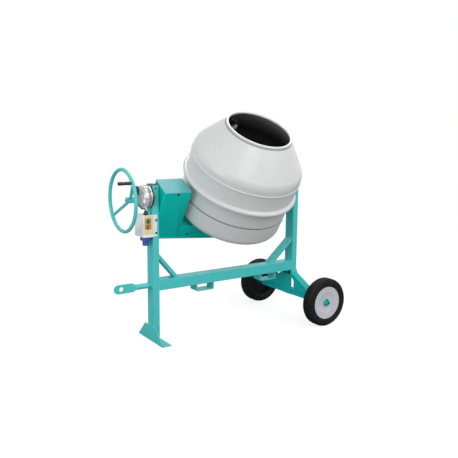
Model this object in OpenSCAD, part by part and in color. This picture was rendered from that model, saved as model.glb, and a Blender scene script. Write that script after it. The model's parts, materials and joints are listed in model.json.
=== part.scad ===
// Tilting-drum concrete mixer on a two-column towable frame.
// +X runs along the main beam from the tow eye to the wheels, -Y is the side the
// drum leans to at rest, +Z is up. The origin is on the floor at the middle of the box.

/* [Frame] */
// Size of both columns along the beam
column_x = 50; // [40:1:70]
// Size of both columns across the beam
column_y = 100; // [80:1:120]
// Wall of the column and beam tubes
tube_wall = 4; // [3:0.5:6]
// Distance between the outer faces of the two columns' tow sides
column_pitch = 1353; // [1320:1:1450]
// Rise of the column tops above the tilt axis
column_rise = 87; // [80:1:110]
// Height of the underside of the main beam
beam_z = 396; // [380:1:420]
// Height of the beam section
beam_h = 80; // [60:1:90]
// Length that the wheel-side column reaches below the beam
column_tail = 51; // [45:1:60]
// Height on each column where its brace meets it
brace_rise = 206; // [160:1:240]
// Reach of the tow-side brace along the beam
brace_run = 178; // [140:1:240]
// Reach of the wheel-side brace along the beam
brace_run_far = 236; // [180:1:260]
// Thickness of the brace tubes
brace_t = 25; // [20:1:32]
// Width of the brace tubes
brace_w = 80; // [60:1:90]

/* [Foot and tow bar] */
// Length of the foot across the machine
foot_l = 396; // [320:1:460]
// Width of the flat sole
foot_w = 78; // [70:1:100]
// Thickness of the folded foot plate
foot_t = 8; // [6:0.5:10]
// Height of the upright flange of the foot
foot_h = 119; // [90:1:140]
// Length of the top edge of the upright flange
foot_top_l = 178; // [140:1:220]
// Outside diameter of the tow tube
tow_d = 42; // [36:1:48]
// Reach of the tow bar from its column
tow_l = 297; // [260:1:340]
// Width of the flattened tow eye
eye_w = 68; // [60:1:76]
// Thickness of the flattened tow eye
eye_t = 12; // [8:1:16]
// Diameter of the tow eye's hole
eye_d = 35; // [25:1:38]
// Distance of the eye's hole from the tip
eye_back = 57; // [48:1:70]

/* [Fork pockets] */
// Inside width of a fork pocket
fork_w = 148; // [130:1:170]
// Inside depth of a fork pocket
fork_h = 50; // [45:1:60]
// Thickness of the fork straps
fork_t = 6; // [5:0.5:8]
// Distance of the first pocket's middle from the tow-side column face
fork_x1 = 460; // [420:1:500]
// Distance of the second pocket's middle from the tow-side column face
fork_x2 = 1092; // [1040:1:1110]

/* [Axle and wheels] */
// Outside diameter of the tyres
tyre_d = 400; // [370:1:420]
// Width of the tyres
tyre_w = 98; // [85:1:110]
// Diameter of the pressed wheel disc
disc_d = 278; // [250:1:290]
// Distance between the middles of the two wheels
track = 878; // [840:1:940]
// Section of the square axle tube
axle_s = 50; // [45:1:50]
// Diameter of the wheel spindles
spindle_d = 30; // [25:1:34]
// Thickness of the axle bracket plates
bracket_t = 8; // [6:1:10]
// Width of the axle bracket plates
bracket_w = 104; // [101:1:120]
// Height of the struts where they meet the bracket plates
strut_z = 372; // [355:1:380]
// Reach of the struts' lower ends from the middle
strut_y = 335; // [300:1:350]

/* [Tilt] */
// Height of the tilt axis
axis_z = 1110; // [1100:1:1125]
// Lean of the drum at rest, from upright
tilt = 31.4; // [20:0.1:40]
// Diameter of the hollow trunnions
trunnion_d = 60; // [50:1:64]
// Bore of the tow-side trunnion, for the cable
trunnion_bore = 36; // [28:1:40]
// Wall of the trunnion bushes
bush_wall = 8; // [5:1:9]
// Outside radius of the tilt gear housing
gearbox_r = 82; // [81:1:88]
// Module of the tilt gears
gear_m = 2.25; // [2.2:0.05:2.25]
// Teeth of the internal tilt gear
ring_teeth = 60; // [58:2:60]
// Teeth of the pinion on the handwheel shaft
pinion_teeth = 14; // [14:2:16]
// Direction of the pinion from the tilt axis, in the plane across the beam
pinion_angle = -28; // [-40:1:-15]
// Diameter of the handwheel shaft
wheel_shaft_d = 20; // [18:1:21]

/* [Handwheel] */
// Outside diameter of the handwheel
handwheel_d = 480; // [440:1:500]
// Diameter of the handwheel's tube
handwheel_tube = 27; // [20:1:30]
// Distance of the rim's middle plane from the tow-side column
handwheel_x = 196; // [190:1:220]
// Direction of the spokes in the wheel's plane
spoke_angle = 144; // [120:1:160]
// Diameter of the spokes
spoke_d = 23; // [16:1:25]
// Length of the turning grip
grip_l = 97; // [90:1:120]
// Diameter of the turning grip
grip_d = 27; // [24:1:32]

/* [Drum] */
// Distance of the drum's axis from the tow-side column face
drum_x = 761; // [745:1:775]
// Radius of the drum's middle band
band_r = 443; // [435:1:450]
// Radius of the flange that joins the two halves
drum_flange_r = 469; // [460:1:474]
// Height of the joint of the halves above the tilt axis, along the drum
joint_v = 143; // [136:1:152]
// Height of the shoulder's start
shoulder_v = 312; // [296:1:320]
// Radius of the rounded shoulder
shoulder_r = 113; // [90:1:120]
// Height of the mouth
mouth_v = 593; // [570:1:605]
// Radius of the mouth at the middle of its rolled rim
mouth_r = 255; // [240:1:268]
// Radius of the rolled rim
rim_roll = 10; // [8:0.5:12]
// Depth of the drum's bottom below the tilt axis
bottom_v = 209; // [205:1:218]
// Radius of the lower half just above its rounded bottom
lower_r = 435; // [420:1:436]
// Rounding of the bottom edge
bottom_round = 60; // [45:1:80]
// Thickness of the drum's sheet
drum_t = 4; // [3:0.5:5]
// Number of mixing blades
blade_n = 2; // [2:1:3]
// Depth of a mixing blade from the wall
blade_depth = 105; // [80:1:120]
// Thickness of a mixing blade
blade_t = 8; // [6:1:10]
// Turn of a blade round the drum from its foot to its tip
blade_sweep = 52; // [30:1:60]

/* [Yoke and drive] */
// Width of the cover over the yoke
cover_w = 176; // [170:1:184]
// Offset of the yoke's middle from the tilt axis
yoke_u = -19; // [-22:1:-12]
// Thickness of the yoke's plates
yoke_t = 8; // [6:1:9]
// Depth of the yoke beam's top edge below the tilt axis
yoke_top_v = 232; // [230:1:236]
// Depth of the beam's lower edge at its ends
yoke_end_v = 314; // [300:1:316]
// Depth of the beam's lower edge at the wheel-side arm
yoke_far_v = 272; // [266:1:300]
// Depth of the beam's lower edge under the drum
yoke_mid_v = 375; // [362:1:400]
// Width of the cover along the beam
cover_l = 224; // [215:1:230]
// Height of the cover above the tilt axis
cover_v = 103; // [95:1:115]
// Rounding of the cover's upright edges
cover_round = 6; // [4:1:10]
// Sheet of the cover
cover_t = 2.5; // [2:0.5:3]
// Diameter of the gear motor
motor_d = 124; // [110:1:130]
// Diameter of the drum shaft
shaft_d = 50; // [44:1:54]
// Belt radius on the driven pulley
driven_r = 66; // [60:1:68]
// Belt radius on the driving pulley
drive_r = 22; // [20:1:24]
// Thickness of the belt
belt_t = 6; // [5:0.5:7]
// Width of the belt
belt_w = 18; // [14:1:20]

/* [Switch box] */
// Size of the switch box along the beam
switch_x = 88; // [80:1:95]
// Reach of the switch box in front of the column
switch_front = 20; // [16:1:24]
// Depth of the switch box across the beam
switch_y = 148; // [130:1:155]
// Height of the switch box
switch_h = 162; // [150:1:170]
// Depth of the switch box's top below the tilt axis
switch_drop = 131; // [120:1:145]
// Diameter of the push buttons
button_d = 24; // [20:1:28]
// Travel of the push buttons
button_travel = 4; // [3:0.5:5]

/* [Hidden] */
// Running clearance of shafts in their bores
run = 0.05;
// Clearance between pieces that move past each other
gap = 0.3;
// Roundness of turned parts
$fn = 72;

teal = [0.24, 0.68, 0.68];
teal_dark = [0.0, 0.6, 0.57];
zinc = [0.72, 0.74, 0.76];
cast = [0.76, 0.75, 0.77];
black = [0.07, 0.07, 0.08];
drum_paint = [0.84, 0.85, 0.85];
wheel_grey = [0.74, 0.74, 0.78];

// Places along the beam and the height levels that several pieces share
beam_top = beam_z + beam_h;
column_top = axis_z + column_rise;
switch_z = axis_z - switch_drop - switch_h;
far_x = column_pitch;
axle_x = far_x + column_x / 2;
wheel_r = tyre_d / 2;
axle_half = track / 2 - tyre_w / 2 - 10;
yoke_x0 = column_x + 10;
yoke_x1 = far_x - 40;
yoke_w = cover_w - 2 * (cover_t + gap);
bush_flange = 4;
// Middle of the handwheel's axis
centre_distance = gear_m * (ring_teeth - pinion_teeth) / 2;
hand_y = centre_distance * cos(pinion_angle);
hand_z = axis_z + centre_distance * sin(pinion_angle);
hand_rim_r = (handwheel_d - handwheel_tube) / 2;
grip_gap = 1;
// Shoulder centre, and the angle at which the cone to the mouth leaves the shoulder
shoulder_c = [band_r - shoulder_r, shoulder_v];
mouth_p = [mouth_r, mouth_v];
shoulder_end = let(d = mouth_p - shoulder_c) atan2(d[1], d[0]) - acos(shoulder_r / norm(d));
cone_normal = [cos(shoulder_end), sin(shoulder_end)];

// Furthest reach of the leaning drum, at its shoulder or at its mouth
lean = [cos(tilt), sin(tilt)];
lean_at = min(tilt, shoulder_end);
shoulder_reach = (shoulder_c + shoulder_r * [cos(lean_at), sin(lean_at)]) * lean;
mouth_reach = (mouth_p - drum_t / 2 * cone_normal) * lean + rim_roll;
// Middle of the object's box on the floor
box_x0 = -max(tow_l, handwheel_x + handwheel_tube / 2 + grip_gap + grip_l);
box_x1 = axle_x + wheel_r;
box_y0 = yoke_u * cos(tilt) - max(shoulder_reach, mouth_reach);
spindle_end = track / 2 + tyre_w / 2 + 9;
box_y1 = spindle_end;
box_mid = [(box_x0 + box_x1) / 2, (box_y0 + box_y1) / 2, 0];

module place() { translate(-box_mid) children(); }

// Turns a shape drawn on X and Y with its axis on Z so that the axis lies on X
module along_x() { rotate([90, 0, 90]) children(); }

// Extrudes an outline drawn on X and Z across the machine, about the middle
module across(w) { rotate([90, 0, 0]) linear_extrude(w, center = true) children(); }

// The tilting yoke's own frame: local Z is the drum's axis direction
module tilted() { translate([0, 0, axis_z]) rotate([tilt, 0, 0]) children(); }

module on_drum() { tilted() translate([drum_x, yoke_u, 0]) children(); }

module on_pinion() { translate([0, hand_y, hand_z]) children(); }

module ring(r_out, r_in, h) {
    difference() {
        cylinder(h = h, r = r_out);
        translate([0, 0, -1]) cylinder(h = h + 2, r = r_in);
    }
}

module round_rect(w, h, r) {
    square([w - 2 * r, h], center = true);
    square([w, h - 2 * r], center = true);
    for (x = [-1, 1], y = [-1, 1])
        translate([x * (w / 2 - r), y * (h / 2 - r)]) circle(r);
}

// Hexagon-headed bolt along Z, head below zero
module hex_bolt(d, l) {
    translate([0, 0, -0.65 * d]) cylinder(h = 0.65 * d, d = 1.85 * d, $fn = 6);
    cylinder(h = l, d = d);
}

// Frame

// Upright tube, open at both ends, with a bore across it for the trunnion bush
module column_tube(x, z0) {
    difference() {
        translate([x, -column_y / 2, z0]) cube([column_x, column_y, column_top - z0]);
        translate([x + tube_wall, -column_y / 2 + tube_wall, z0 - 1])
            cube([column_x - 2 * tube_wall, column_y - 2 * tube_wall, column_top - z0 + 2]);
        translate([x - 1, 0, axis_z]) along_x() cylinder(h = column_x + 2, r = bush_r);
    }
}

bush_r = trunnion_d / 2 + bush_wall;

module left_column() {
    color(teal) place() column_tube(0, foot_t);
}

axle_bolt_d = 16;
axle_bolt_y = 30;
axle_bolt_z = beam_z - column_tail / 2;

module right_column() {
    color(teal) place() difference() {
        column_tube(far_x, beam_z - column_tail);
        for (y = [-1, 1])
            translate([far_x - 1, y * axle_bolt_y, axle_bolt_z])
                along_x() cylinder(h = column_x + 2, d = axle_bolt_d + 2 * gap);
    }
}

cap_t = 5;
cap_plug = 22;

module column_caps() {
    color(black) place() for (x = [0, far_x]) {
        translate([x + column_x / 2, 0, column_top])
            linear_extrude(cap_t) round_rect(column_x, column_y, 5);
        translate([x + tube_wall, tube_wall - column_y / 2, column_top - cap_plug])
            cube([column_x - 2 * tube_wall, column_y - 2 * tube_wall, cap_plug]);
    }
}

module main_beam() {
    length = column_pitch - column_x;
    color(teal) place() translate([column_x, 0, beam_z]) difference() {
        translate([0, -column_y / 2, 0]) cube([length, column_y, beam_h]);
        translate([-1, tube_wall - column_y / 2, tube_wall])
            cube([length + 2, column_y - 2 * tube_wall, beam_h - 2 * tube_wall]);
    }
}

// Slanted tube cut to sit flat on the column and on the beam, drawn from the corner between them
module brace(run_x) {
    slope = atan2(brace_rise, run_x);
    foot_len = brace_t / sin(slope);
    head_len = brace_t / cos(slope);
    across(brace_w)
        polygon([[0, brace_rise], [run_x, 0], [run_x - foot_len, 0], [0, brace_rise - head_len]]);
}

module left_brace() {
    color(teal) place() translate([column_x, 0, beam_top]) brace(brace_run);
}

module right_brace() {
    color(teal) place() translate([far_x, 0, beam_top]) mirror([1, 0, 0]) brace(brace_run_far);
}

// Folded plate: flat sole and an upright flange with slanted ends, in front of the column
module foot() {
    color(teal) place() intersection() {
        across(foot_l) union() {
            translate([-foot_t, 0]) square([foot_w, foot_t]);
            translate([-foot_t, 0]) square([foot_t, foot_h]);
        }
        along_x() translate([0, 0, -foot_t - 1]) linear_extrude(foot_w + 2)
            polygon([[-foot_l / 2, 0], [foot_l / 2, 0], [foot_l / 2, foot_t], [foot_top_l / 2, foot_h],
                     [-foot_top_l / 2, foot_h], [-foot_l / 2, foot_t]]);
    }
}

tow_z = beam_z + beam_h / 2;
eye_flat = 147;
eye_start = tow_l - eye_flat;
eye_taper = 26;

// Round tube welded to the column, flattened to a rounded eye
module tow_bar() {
    color(teal) place() translate([0, 0, tow_z]) difference() {
        union() {
            rotate([0, -90, 0]) cylinder(h = eye_start - eye_taper, d = tow_d);
            hull() {
                translate([-eye_start + eye_taper, 0, 0]) rotate([0, -90, 0])
                    cylinder(h = 1, d = tow_d, $fn = 32);
                translate([-eye_start - 1, -eye_t / 2, -eye_w / 2]) cube([1, eye_t, eye_w]);
            }
            across(eye_t) union() {
                translate([-tow_l + eye_w / 2, 0]) circle(d = eye_w);
                translate([-tow_l + eye_w / 2, -eye_w / 2])
                    square([tow_l - eye_start - eye_w / 2, eye_w]);
            }
        }
        translate([-tow_l + eye_back, 0, 0]) rotate([90, 0, 0])
            cylinder(h = eye_w, d = eye_d, center = true);
    }
}

// Strap bent to a U under the beam, as wide as the beam
module fork_strap(x) {
    w = fork_w + 2 * fork_t;
    h = fork_h + fork_t;
    bend = 2 * fork_t;
    translate([x, 0, beam_z - h]) across(column_y) difference() {
        union() {
            translate([bend - w / 2, 0]) square([w - 2 * bend, bend]);
            translate([-w / 2, bend]) square([w, h - bend]);
            for (s = [-1, 1]) translate([s * (w / 2 - bend), bend]) circle(bend);
        }
        translate([-fork_w / 2, fork_t]) square([fork_w, h]);
    }
}

module fork_straps() {
    color(teal) place() for (x = [fork_x1, fork_x2]) fork_strap(x);
}

// Axle and wheels

axle_z = wheel_r;

// Long plate between the column's lower end and the axle tube, and a short one behind the column
module axle_bracket() {
    top = beam_z - 3;
    color(teal_dark) place() for (x = [far_x - bracket_t, far_x + column_x]) difference() {
        z0 = x < far_x ? axle_z - axle_s / 2 : beam_z - column_tail - 20;
        translate([x, -bracket_w / 2, z0]) cube([bracket_t, bracket_w, top - z0]);
        for (y = [-1, 1]) translate([x - 1, y * axle_bolt_y, axle_bolt_z])
            along_x() cylinder(h = bracket_t + 2, d = axle_bolt_d + 2 * gap);
    }
}

module axle_bolts() {
    grip_len = column_x + 2 * bracket_t;
    color(zinc) place() for (y = [-1, 1])
        translate([far_x + column_x + bracket_t, y * axle_bolt_y, axle_bolt_z])
            rotate([0, -90, 0]) {
                hex_bolt(axle_bolt_d, grip_len + 20);
                translate([0, 0, grip_len]) cylinder(h = 13, d = 1.7 * axle_bolt_d, $fn = 6);
            }
}

// Square tube between the wheels with a round spindle welded in at each end
module axle_tube() {
    plug = 60;
    color(teal_dark) place() translate([axle_x, 0, axle_z]) {
        difference() {
            translate([-axle_s / 2, -axle_half, -axle_s / 2]) cube([axle_s, 2 * axle_half, axle_s]);
            translate([tube_wall - axle_s / 2, plug - axle_half, tube_wall - axle_s / 2])
                cube([axle_s - 2 * tube_wall, 2 * (axle_half - plug), axle_s - 2 * tube_wall]);
        }
        for (s = [-1, 1]) difference() {
            translate([0, s * (axle_half + spindle_end - 1) / 2, 0]) rotate([90, 0, 0])
                cylinder(h = spindle_end - axle_half + 1, d = spindle_d, center = true);
            translate([0, s * pin_y, 0]) cylinder(h = spindle_d + 2, d = pin_d + 0.2, center = true);
        }
    }
}

strut_plate = 6;
strut_window = 34;

// Folded strut: sloping top and two cheeks that stand on the axle
module axle_strut(window) {
    w = column_x + 2 * bracket_t;
    y0 = bracket_w / 2;
    z1 = axle_z + axle_s / 2;
    slope = (strut_z - z1) / (strut_y - y0);
    drop = strut_plate / cos(atan(slope));
    neck = strut_z - drop - 24;
    inner = window > 0 ? [[y0 + window, z1], [y0 + window, neck - window * 1.1], [y0, neck]] : [[y0, z1]];
    translate([far_x - bracket_t, 0, 0]) along_x() {
        linear_extrude(w)
            polygon([[y0, strut_z], [strut_y, z1], [strut_y - drop / slope, z1], [y0, strut_z - drop]]);
        for (z = [0, w - strut_plate]) translate([0, 0, z]) linear_extrude(strut_plate)
            polygon(concat([[y0, strut_z], [strut_y, z1]], inner));
    }
}

module axle_struts() {
    color(teal_dark) place() for (s = [0, 1]) mirror([0, s, 0]) axle_strut(s * strut_window);
}

washer_t = 3;
pin_d = 5;
hub_l = 74;
hub_r = 27;
pin_y = track / 2 + hub_l / 2 + washer_t + gap + pin_d / 2 + gap;

module axle_washers() {
    color(zinc) place() for (s = [-1, 1])
        translate([axle_x, s * (track / 2 + hub_l / 2 + gap + washer_t / 2), axle_z])
            rotate([90, 0, 0]) difference() {
                cylinder(h = washer_t, d = 1.8 * spindle_d, center = true);
                cylinder(h = washer_t + 1, d = spindle_d + 2 * run, center = true);
            }
}

// Split pins through the spindle ends, with a ring eye on top
module axle_pins() {
    color(zinc) place() for (s = [-1, 1]) translate([axle_x, s * pin_y, axle_z]) {
        cylinder(h = spindle_d + 16, d = pin_d, center = true);
        translate([0, 0, spindle_d / 2 + 10]) rotate([90, 0, 0])
            rotate_extrude() translate([pin_d, 0]) circle(d = 3, $fn = 24);
    }
}

// Tyre section as drawn on radius and width, with rounded shoulders and tread grooves
module tyre(s) {
    h = tyre_w / 2;
    shoulder = 26;
    bead_r = disc_d / 2 - 4;
    groove = 5;
    translate([axle_x, s * track / 2, axle_z]) rotate([90, 0, 0]) rotate_extrude() difference() {
        union() {
            translate([bead_r, -h]) square([wheel_r - shoulder - bead_r, 2 * h]);
            translate([bead_r, shoulder - h]) square([wheel_r - bead_r, 2 * (h - shoulder)]);
            for (k = [-1, 1]) translate([wheel_r - shoulder, k * (h - shoulder)]) circle(shoulder);
        }
        for (k = [-1, 0, 1]) translate([wheel_r - groove, k * 15 - groove / 2]) square([groove + 1, groove]);
        for (k = [-1, 1]) translate([bead_r - 1, k * (h - 3) - 4]) square([9, 8]);
    }
}

// Pressed disc with a rolled edge on a long hub
module rim(s) {
    rim_r = disc_d / 2 - 4 - gap;
    depth = tyre_w / 2 - 9;
    sheet = 4;
    translate([axle_x, s * track / 2, axle_z]) rotate([90 * s, 0, 0]) {
        ring(hub_r, spindle_d / 2 + run, hub_l / 2);
        translate([0, 0, -hub_l / 2]) ring(hub_r, spindle_d / 2 + run, hub_l / 2 + 0.01);
        rotate_extrude() polygon([
            [hub_r - 1, -26], [60, -30], [rim_r - 22, -depth + 2], [rim_r, -depth + 2], [rim_r, depth],
            [rim_r - sheet, depth], [rim_r - sheet, -depth + 2 + sheet],
            [rim_r - 22, -depth + 2 + sheet], [60, -30 + sheet], [hub_r - 1, -26 + sheet]
        ]);
    }
}

module tyre_near() { color(black) place() tyre(-1); }
module tyre_far() { color(black) place() tyre(1); }
module rim_near() { color(wheel_grey) place() rim(-1); }
module rim_far() { color(wheel_grey) place() rim(1); }

// Tilt gear on the tow-side column

module trunnion_bushes() {
    color([0.7, 0.55, 0.3]) place() for (s = [0, 1])
        translate([s * (far_x + column_x), 0, axis_z]) mirror([s, 0, 0]) along_x() {
            ring(bush_r, trunnion_d / 2 + run, column_x);
            translate([0, 0, column_x]) ring(bush_r + 5, trunnion_d / 2 + run, bush_flange);
        }
}

mount_plate = 14;
housing_l = 46;
housing_wall = 5;
cover_lip = 6;
nose_l = 8;
nose_r = 66;
lug_n = 6;
lug_r = 8;
lug_bolt = 6;
housing_x = -mount_plate - housing_l;

module gearbox_flange() {
    color(black) place() translate([-mount_plate, 0, axis_z])
        along_x() ring(gearbox_r + 1, trunnion_d / 2 + 1.5, mount_plate);
}

module lugs(h) {
    for (k = [0 : lug_n - 1]) rotate(k * 360 / lug_n) translate([gearbox_r, 0]) cylinder(h = h, r = lug_r);
}

module lug_holes(h) {
    for (k = [0 : lug_n - 1]) rotate(k * 360 / lug_n) translate([gearbox_r + 1, 0, -1])
        cylinder(h = h + 2, d = lug_bolt + 2 * gap);
}

// Cast housing with ribs round it
module gearbox_body() {
    rib = 2.5;
    color(cast) place() translate([housing_x, 0, axis_z]) along_x() difference() {
        union() {
            cylinder(h = housing_l, r = gearbox_r);
            for (z = [0 : 2]) translate([0, 0, 14 + 10 * z]) cylinder(h = 4, r = gearbox_r + rib);
            lugs(12);
        }
        translate([0, 0, -1]) cylinder(h = housing_l + 2, r = gearbox_r - housing_wall);
        lug_holes(10);
    }
}

boss_r = 21;
boss_out = 42;
boot_r = 12;
boot_stub = 9;
boot_at = [33, 38];
cap_r = 25;
cap_top = cover_lip + 14;
cap_turn = -34;
cap_pitch = 58;

// Cast cover with a tapered nose, a bearing cap and the boss that carries the handwheel shaft
module gearbox_cover() {
    color(cast) place() translate([housing_x, 0, axis_z]) rotate([0, 0, 180]) along_x() difference() {
        union() {
            rotate_extrude()
                polygon([[0, 0], [gearbox_r, 0], [gearbox_r, cover_lip], [gearbox_r - 6, cover_lip],
                         [nose_r, cover_lip + nose_l], [0, cover_lip + nose_l]]);
            lugs(cover_lip - 1);
            translate(boss_at) cylinder(h = cover_lip + boss_out, r = boss_r);
            rotate(cap_turn) translate([cap_pitch, 0]) rotate_extrude()
                polygon([[0, 1], [cap_r, 1], [cap_r, cap_top - 4], [cap_r - 4, cap_top],
                         [cap_r - 11, cap_top], [cap_r - 11, cap_top + 5], [0, cap_top + 5]]);
        }
        translate([0, 0, -1]) cylinder(h = cover_lip - 1, r = gearbox_r - housing_wall);
        translate(boss_at) translate([0, 0, -1])
            cylinder(h = nose_l + boss_out + 20, d = wheel_shaft_d + 2 * run);
        translate([-boot_at[0], boot_at[1], 0]) cylinder(h = nose_l + 20, r = boot_stub + run);
        lug_holes(cover_lip);
    }
}

// The cover is drawn facing away from the column, so the pinion's side is mirrored there
boss_at = [-hand_y, hand_z - axis_z, 0];

module gearbox_bolts() {
    color(zinc) place() translate([housing_x - cover_lip, 0, axis_z]) along_x()
        for (k = [0 : lug_n - 1]) rotate(k * 360 / lug_n) translate([gearbox_r + 1, 0, 0])
            hex_bolt(lug_bolt, cover_lip + 10);
}

nose_x = housing_x - cover_lip - nose_l;
boot_x = nose_x - boot_r - 1;
boot_low = 10;
boot_l = 58;
cable_d = 9;

// Closed boot on the cover's far side, where the cable goes in to the hollow trunnion
module cable_elbow() {
    color(black) place() translate([0, boot_at[0], axis_z + boot_at[1]]) {
        translate([boot_x + 2, 0, 0]) along_x() cylinder(h = nose_x - boot_x + 6, r = boot_stub);
        translate([boot_x, 0, boot_low - boot_at[1]]) difference() {
            rotate(100) rotate_extrude()
                polygon(concat([[0, 0], [boot_r, 0]], arc([0, boot_l], boot_r, 0, 80, 6),
                    [[0, boot_l + boot_r]]));
            translate([0, 0, -1]) cylinder(h = 9, d = cable_d);
        }
    }
}

// External tooth outline: half the tooth's angle at a radius, on an involute flank
function involute(a) = tan(a) * 180 / PI - a;
function flank(r, base) = r <= base ? 0 : involute(acos(base / r));
function half_tooth(r, pitch, base, half) = half + flank(pitch, base) - flank(max(r, base), base);

// Points of a toothed outline between a root and a tip radius, one tooth centred on X
function teeth(n, root, tip, slack) = let(
        pitch = gear_m * n / 2,
        base = pitch * cos(20),
        half = 90 / n + slack / pitch * 180 / PI,
        steps = 4,
        radii = [for (i = [0 : steps]) root + (tip - root) * i / steps]
    ) [for (k = [0 : n - 1]) each concat(
        [for (i = [0 : steps]) let(a = 360 * k / n - half_tooth(radii[i], pitch, base, half))
            radii[i] * [cos(a), sin(a)]],
        [for (i = [steps : -1 : 0]) let(a = 360 * k / n + half_tooth(radii[i], pitch, base, half))
            radii[i] * [cos(a), sin(a)]])];

tooth_slack = 0.18;
ring_l = 24;
ring_disc = 7;
ring_x = housing_x + 8;
ring_pitch = gear_m * ring_teeth / 2;
ring_out = gearbox_r - housing_wall - 2.5;

// Gear with inside teeth, carried on the trunnion by a disc
module tilt_ring_gear() {
    color(zinc) place() tilted() translate([ring_x, 0, 0]) along_x() {
        difference() {
            cylinder(h = ring_l + ring_disc, r = ring_out);
            translate([0, 0, -1]) linear_extrude(ring_l + 1) rotate(pinion_angle - tilt)
                polygon(teeth(ring_teeth, ring_pitch - 0.8 * gear_m, ring_pitch + 1.25 * gear_m,
                    tooth_slack));
            translate([0, 0, -1]) cylinder(h = ring_l + ring_disc + 2, d = trunnion_d + 2 * run);
        }
    }
}

pinion_l = ring_l - 3;

module tilt_pinion() {
    pitch = gear_m * pinion_teeth / 2;
    color(zinc) place() on_pinion() translate([ring_x + 2, 0, 0]) along_x() difference() {
        linear_extrude(pinion_l) rotate(pinion_angle)
            polygon(teeth(pinion_teeth, pitch - 1.2 * gear_m, pitch + 0.95 * gear_m, -tooth_slack));
        translate([0, 0, -1]) cylinder(h = pinion_l + 2, d = wheel_shaft_d + 2 * run);
    }
}

// Handwheel

hub_back = nose_x - boss_out + nose_l - 4;
hub_len = 52;
hub_d = 46;

module handwheel_shaft() {
    color(zinc) place() on_pinion() translate([hub_back - hub_len - 8, 0, 0]) along_x()
        cylinder(h = ring_x + 2 + pinion_l - hub_back + hub_len + 8, d = wheel_shaft_d);
}

// Ring of a section's diameter in the handwheel's plane
module rim_ring(d) {
    translate([-handwheel_x, 0, 0]) along_x()
        rotate_extrude($fn = 96) translate([hand_rim_r, 0]) circle(d = d, $fn = 32);
}

module handwheel_rim() {
    color(teal) place() on_pinion() rim_ring(handwheel_tube);
}

// Hub and two dished spokes, shaped at their ends to sit on the rim
module handwheel_spokes() {
    hub_x = hub_back - hub_len / 2;
    dish = handwheel_x + hub_x;
    start = hub_d / 2 - 8;
    lean = atan2(dish, hand_rim_r - start);
    color(teal) place() on_pinion() difference() {
        union() {
            translate([hub_back - hub_len, 0, 0]) along_x() cylinder(h = hub_len, d = hub_d);
            for (a = [0, 180]) rotate([spoke_angle + a, 0, 0]) translate([hub_x, start, 0])
                rotate([-90, 0, lean]) cylinder(h = (hand_rim_r - start) / cos(lean), d = spoke_d);
        }
        translate([hub_back - hub_len - 1, 0, 0]) along_x()
            cylinder(h = hub_len + 2, d = wheel_shaft_d + 2 * run);
        rim_ring(handwheel_tube + 2 * run);
    }
}

pin_len = grip_l + grip_gap;
grip_angle = spoke_angle - 2.5;
grip_pin_d = 10;

module at_grip() {
    on_pinion() rotate([grip_angle, 0, 0]) translate([-handwheel_x - handwheel_tube / 2, hand_rim_r, 0])
        rotate([0, -90, 0]) children();
}

module grip_pin() {
    color(zinc) place() at_grip() {
        translate([0, 0, -6]) cylinder(h = pin_len + 6 - 12, d = grip_pin_d);
    }
}

// Turning grip, waisted a little, closed at its tip
module grip() {
    r = grip_d / 2;
    color(black) place() at_grip() translate([0, 0, grip_gap]) difference() {
        rotate_extrude() polygon([
            [0, 0], [r - 2, 0], [r, 3], [r - 1.5, grip_l / 2], [r, grip_l - 6], [r - 4, grip_l], [0, grip_l]
        ]);
        translate([0, 0, -1]) cylinder(h = grip_l - 9, d = grip_pin_d + 2 * run);
    }
}

// Switch box

switch_x0 = -switch_x;
switch_y0 = -column_y / 2 - switch_front;
switch_wall = 3;
ear_l = 44;
ear_t = 4;
ear_low = 26;
ear_high = 40;
screw_d = 6;
button_x = -switch_x * 0.54;
start_z = switch_z + switch_h * 0.74;
stop_z = switch_z + switch_h * 0.47;
ear_screws = [switch_z + ear_low, switch_z + switch_h - ear_high];

module along_front() { rotate([90, 0, 0]) children(); }

// Hollow box against the column, with an ear that wraps onto the column's front
module switch_box() {
    color([0.86, 0.87, 0.86]) place() difference() {
        union() {
            translate([switch_x0 + switch_x / 2, switch_y0 + switch_y / 2, switch_z])
                linear_extrude(switch_h) round_rect(switch_x, switch_y, 8);
            translate([-12, -column_y / 2 - ear_t, switch_z]) cube([ear_l, ear_t, switch_h]);
        }
        translate([switch_x0 + switch_x / 2, switch_y0 + switch_y / 2, switch_z + switch_wall])
            linear_extrude(switch_h - 2 * switch_wall)
                round_rect(switch_x - 2 * switch_wall, switch_y - 2 * switch_wall, 5);
        for (z = ear_screws) translate([ear_l - 12 - 8, -column_y / 2, z])
            along_front() cylinder(h = 3 * ear_t, d = screw_d + 0.4, center = true);
        for (z = [start_z, stop_z]) translate([button_x, switch_y0 - 1, z])
            along_front() translate([0, 0, -switch_wall - 2])
                cylinder(h = switch_wall + 2, d = button_stem + 2 * gap);
        translate([gland_at[0], gland_at[1], switch_z + switch_h - switch_wall - 1])
            cylinder(h = switch_wall + 2, d = gland_d + 0.1);
        translate([inlet_at[0], inlet_at[1], switch_z - 1]) cylinder(h = switch_wall + 2, r = inlet_r - 4);
    }
}

plate_t = 2;
plate_w = 72;
plate_h = 138;
button_stem = 14;
button_out = 9;

module switch_plate() {
    color([0.9, 0.75, 0.25]) place() difference() {
        translate([-switch_x / 2, switch_y0, (start_z + stop_z) / 2 - 6]) along_front()
            linear_extrude(plate_t) round_rect(plate_w, plate_h, 4);
        for (z = [start_z, stop_z]) translate([button_x, switch_y0, z])
            along_front() translate([0, 0, -1]) cylinder(h = plate_t + 2, d = button_d + 2 * gap);
    }
}

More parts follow.
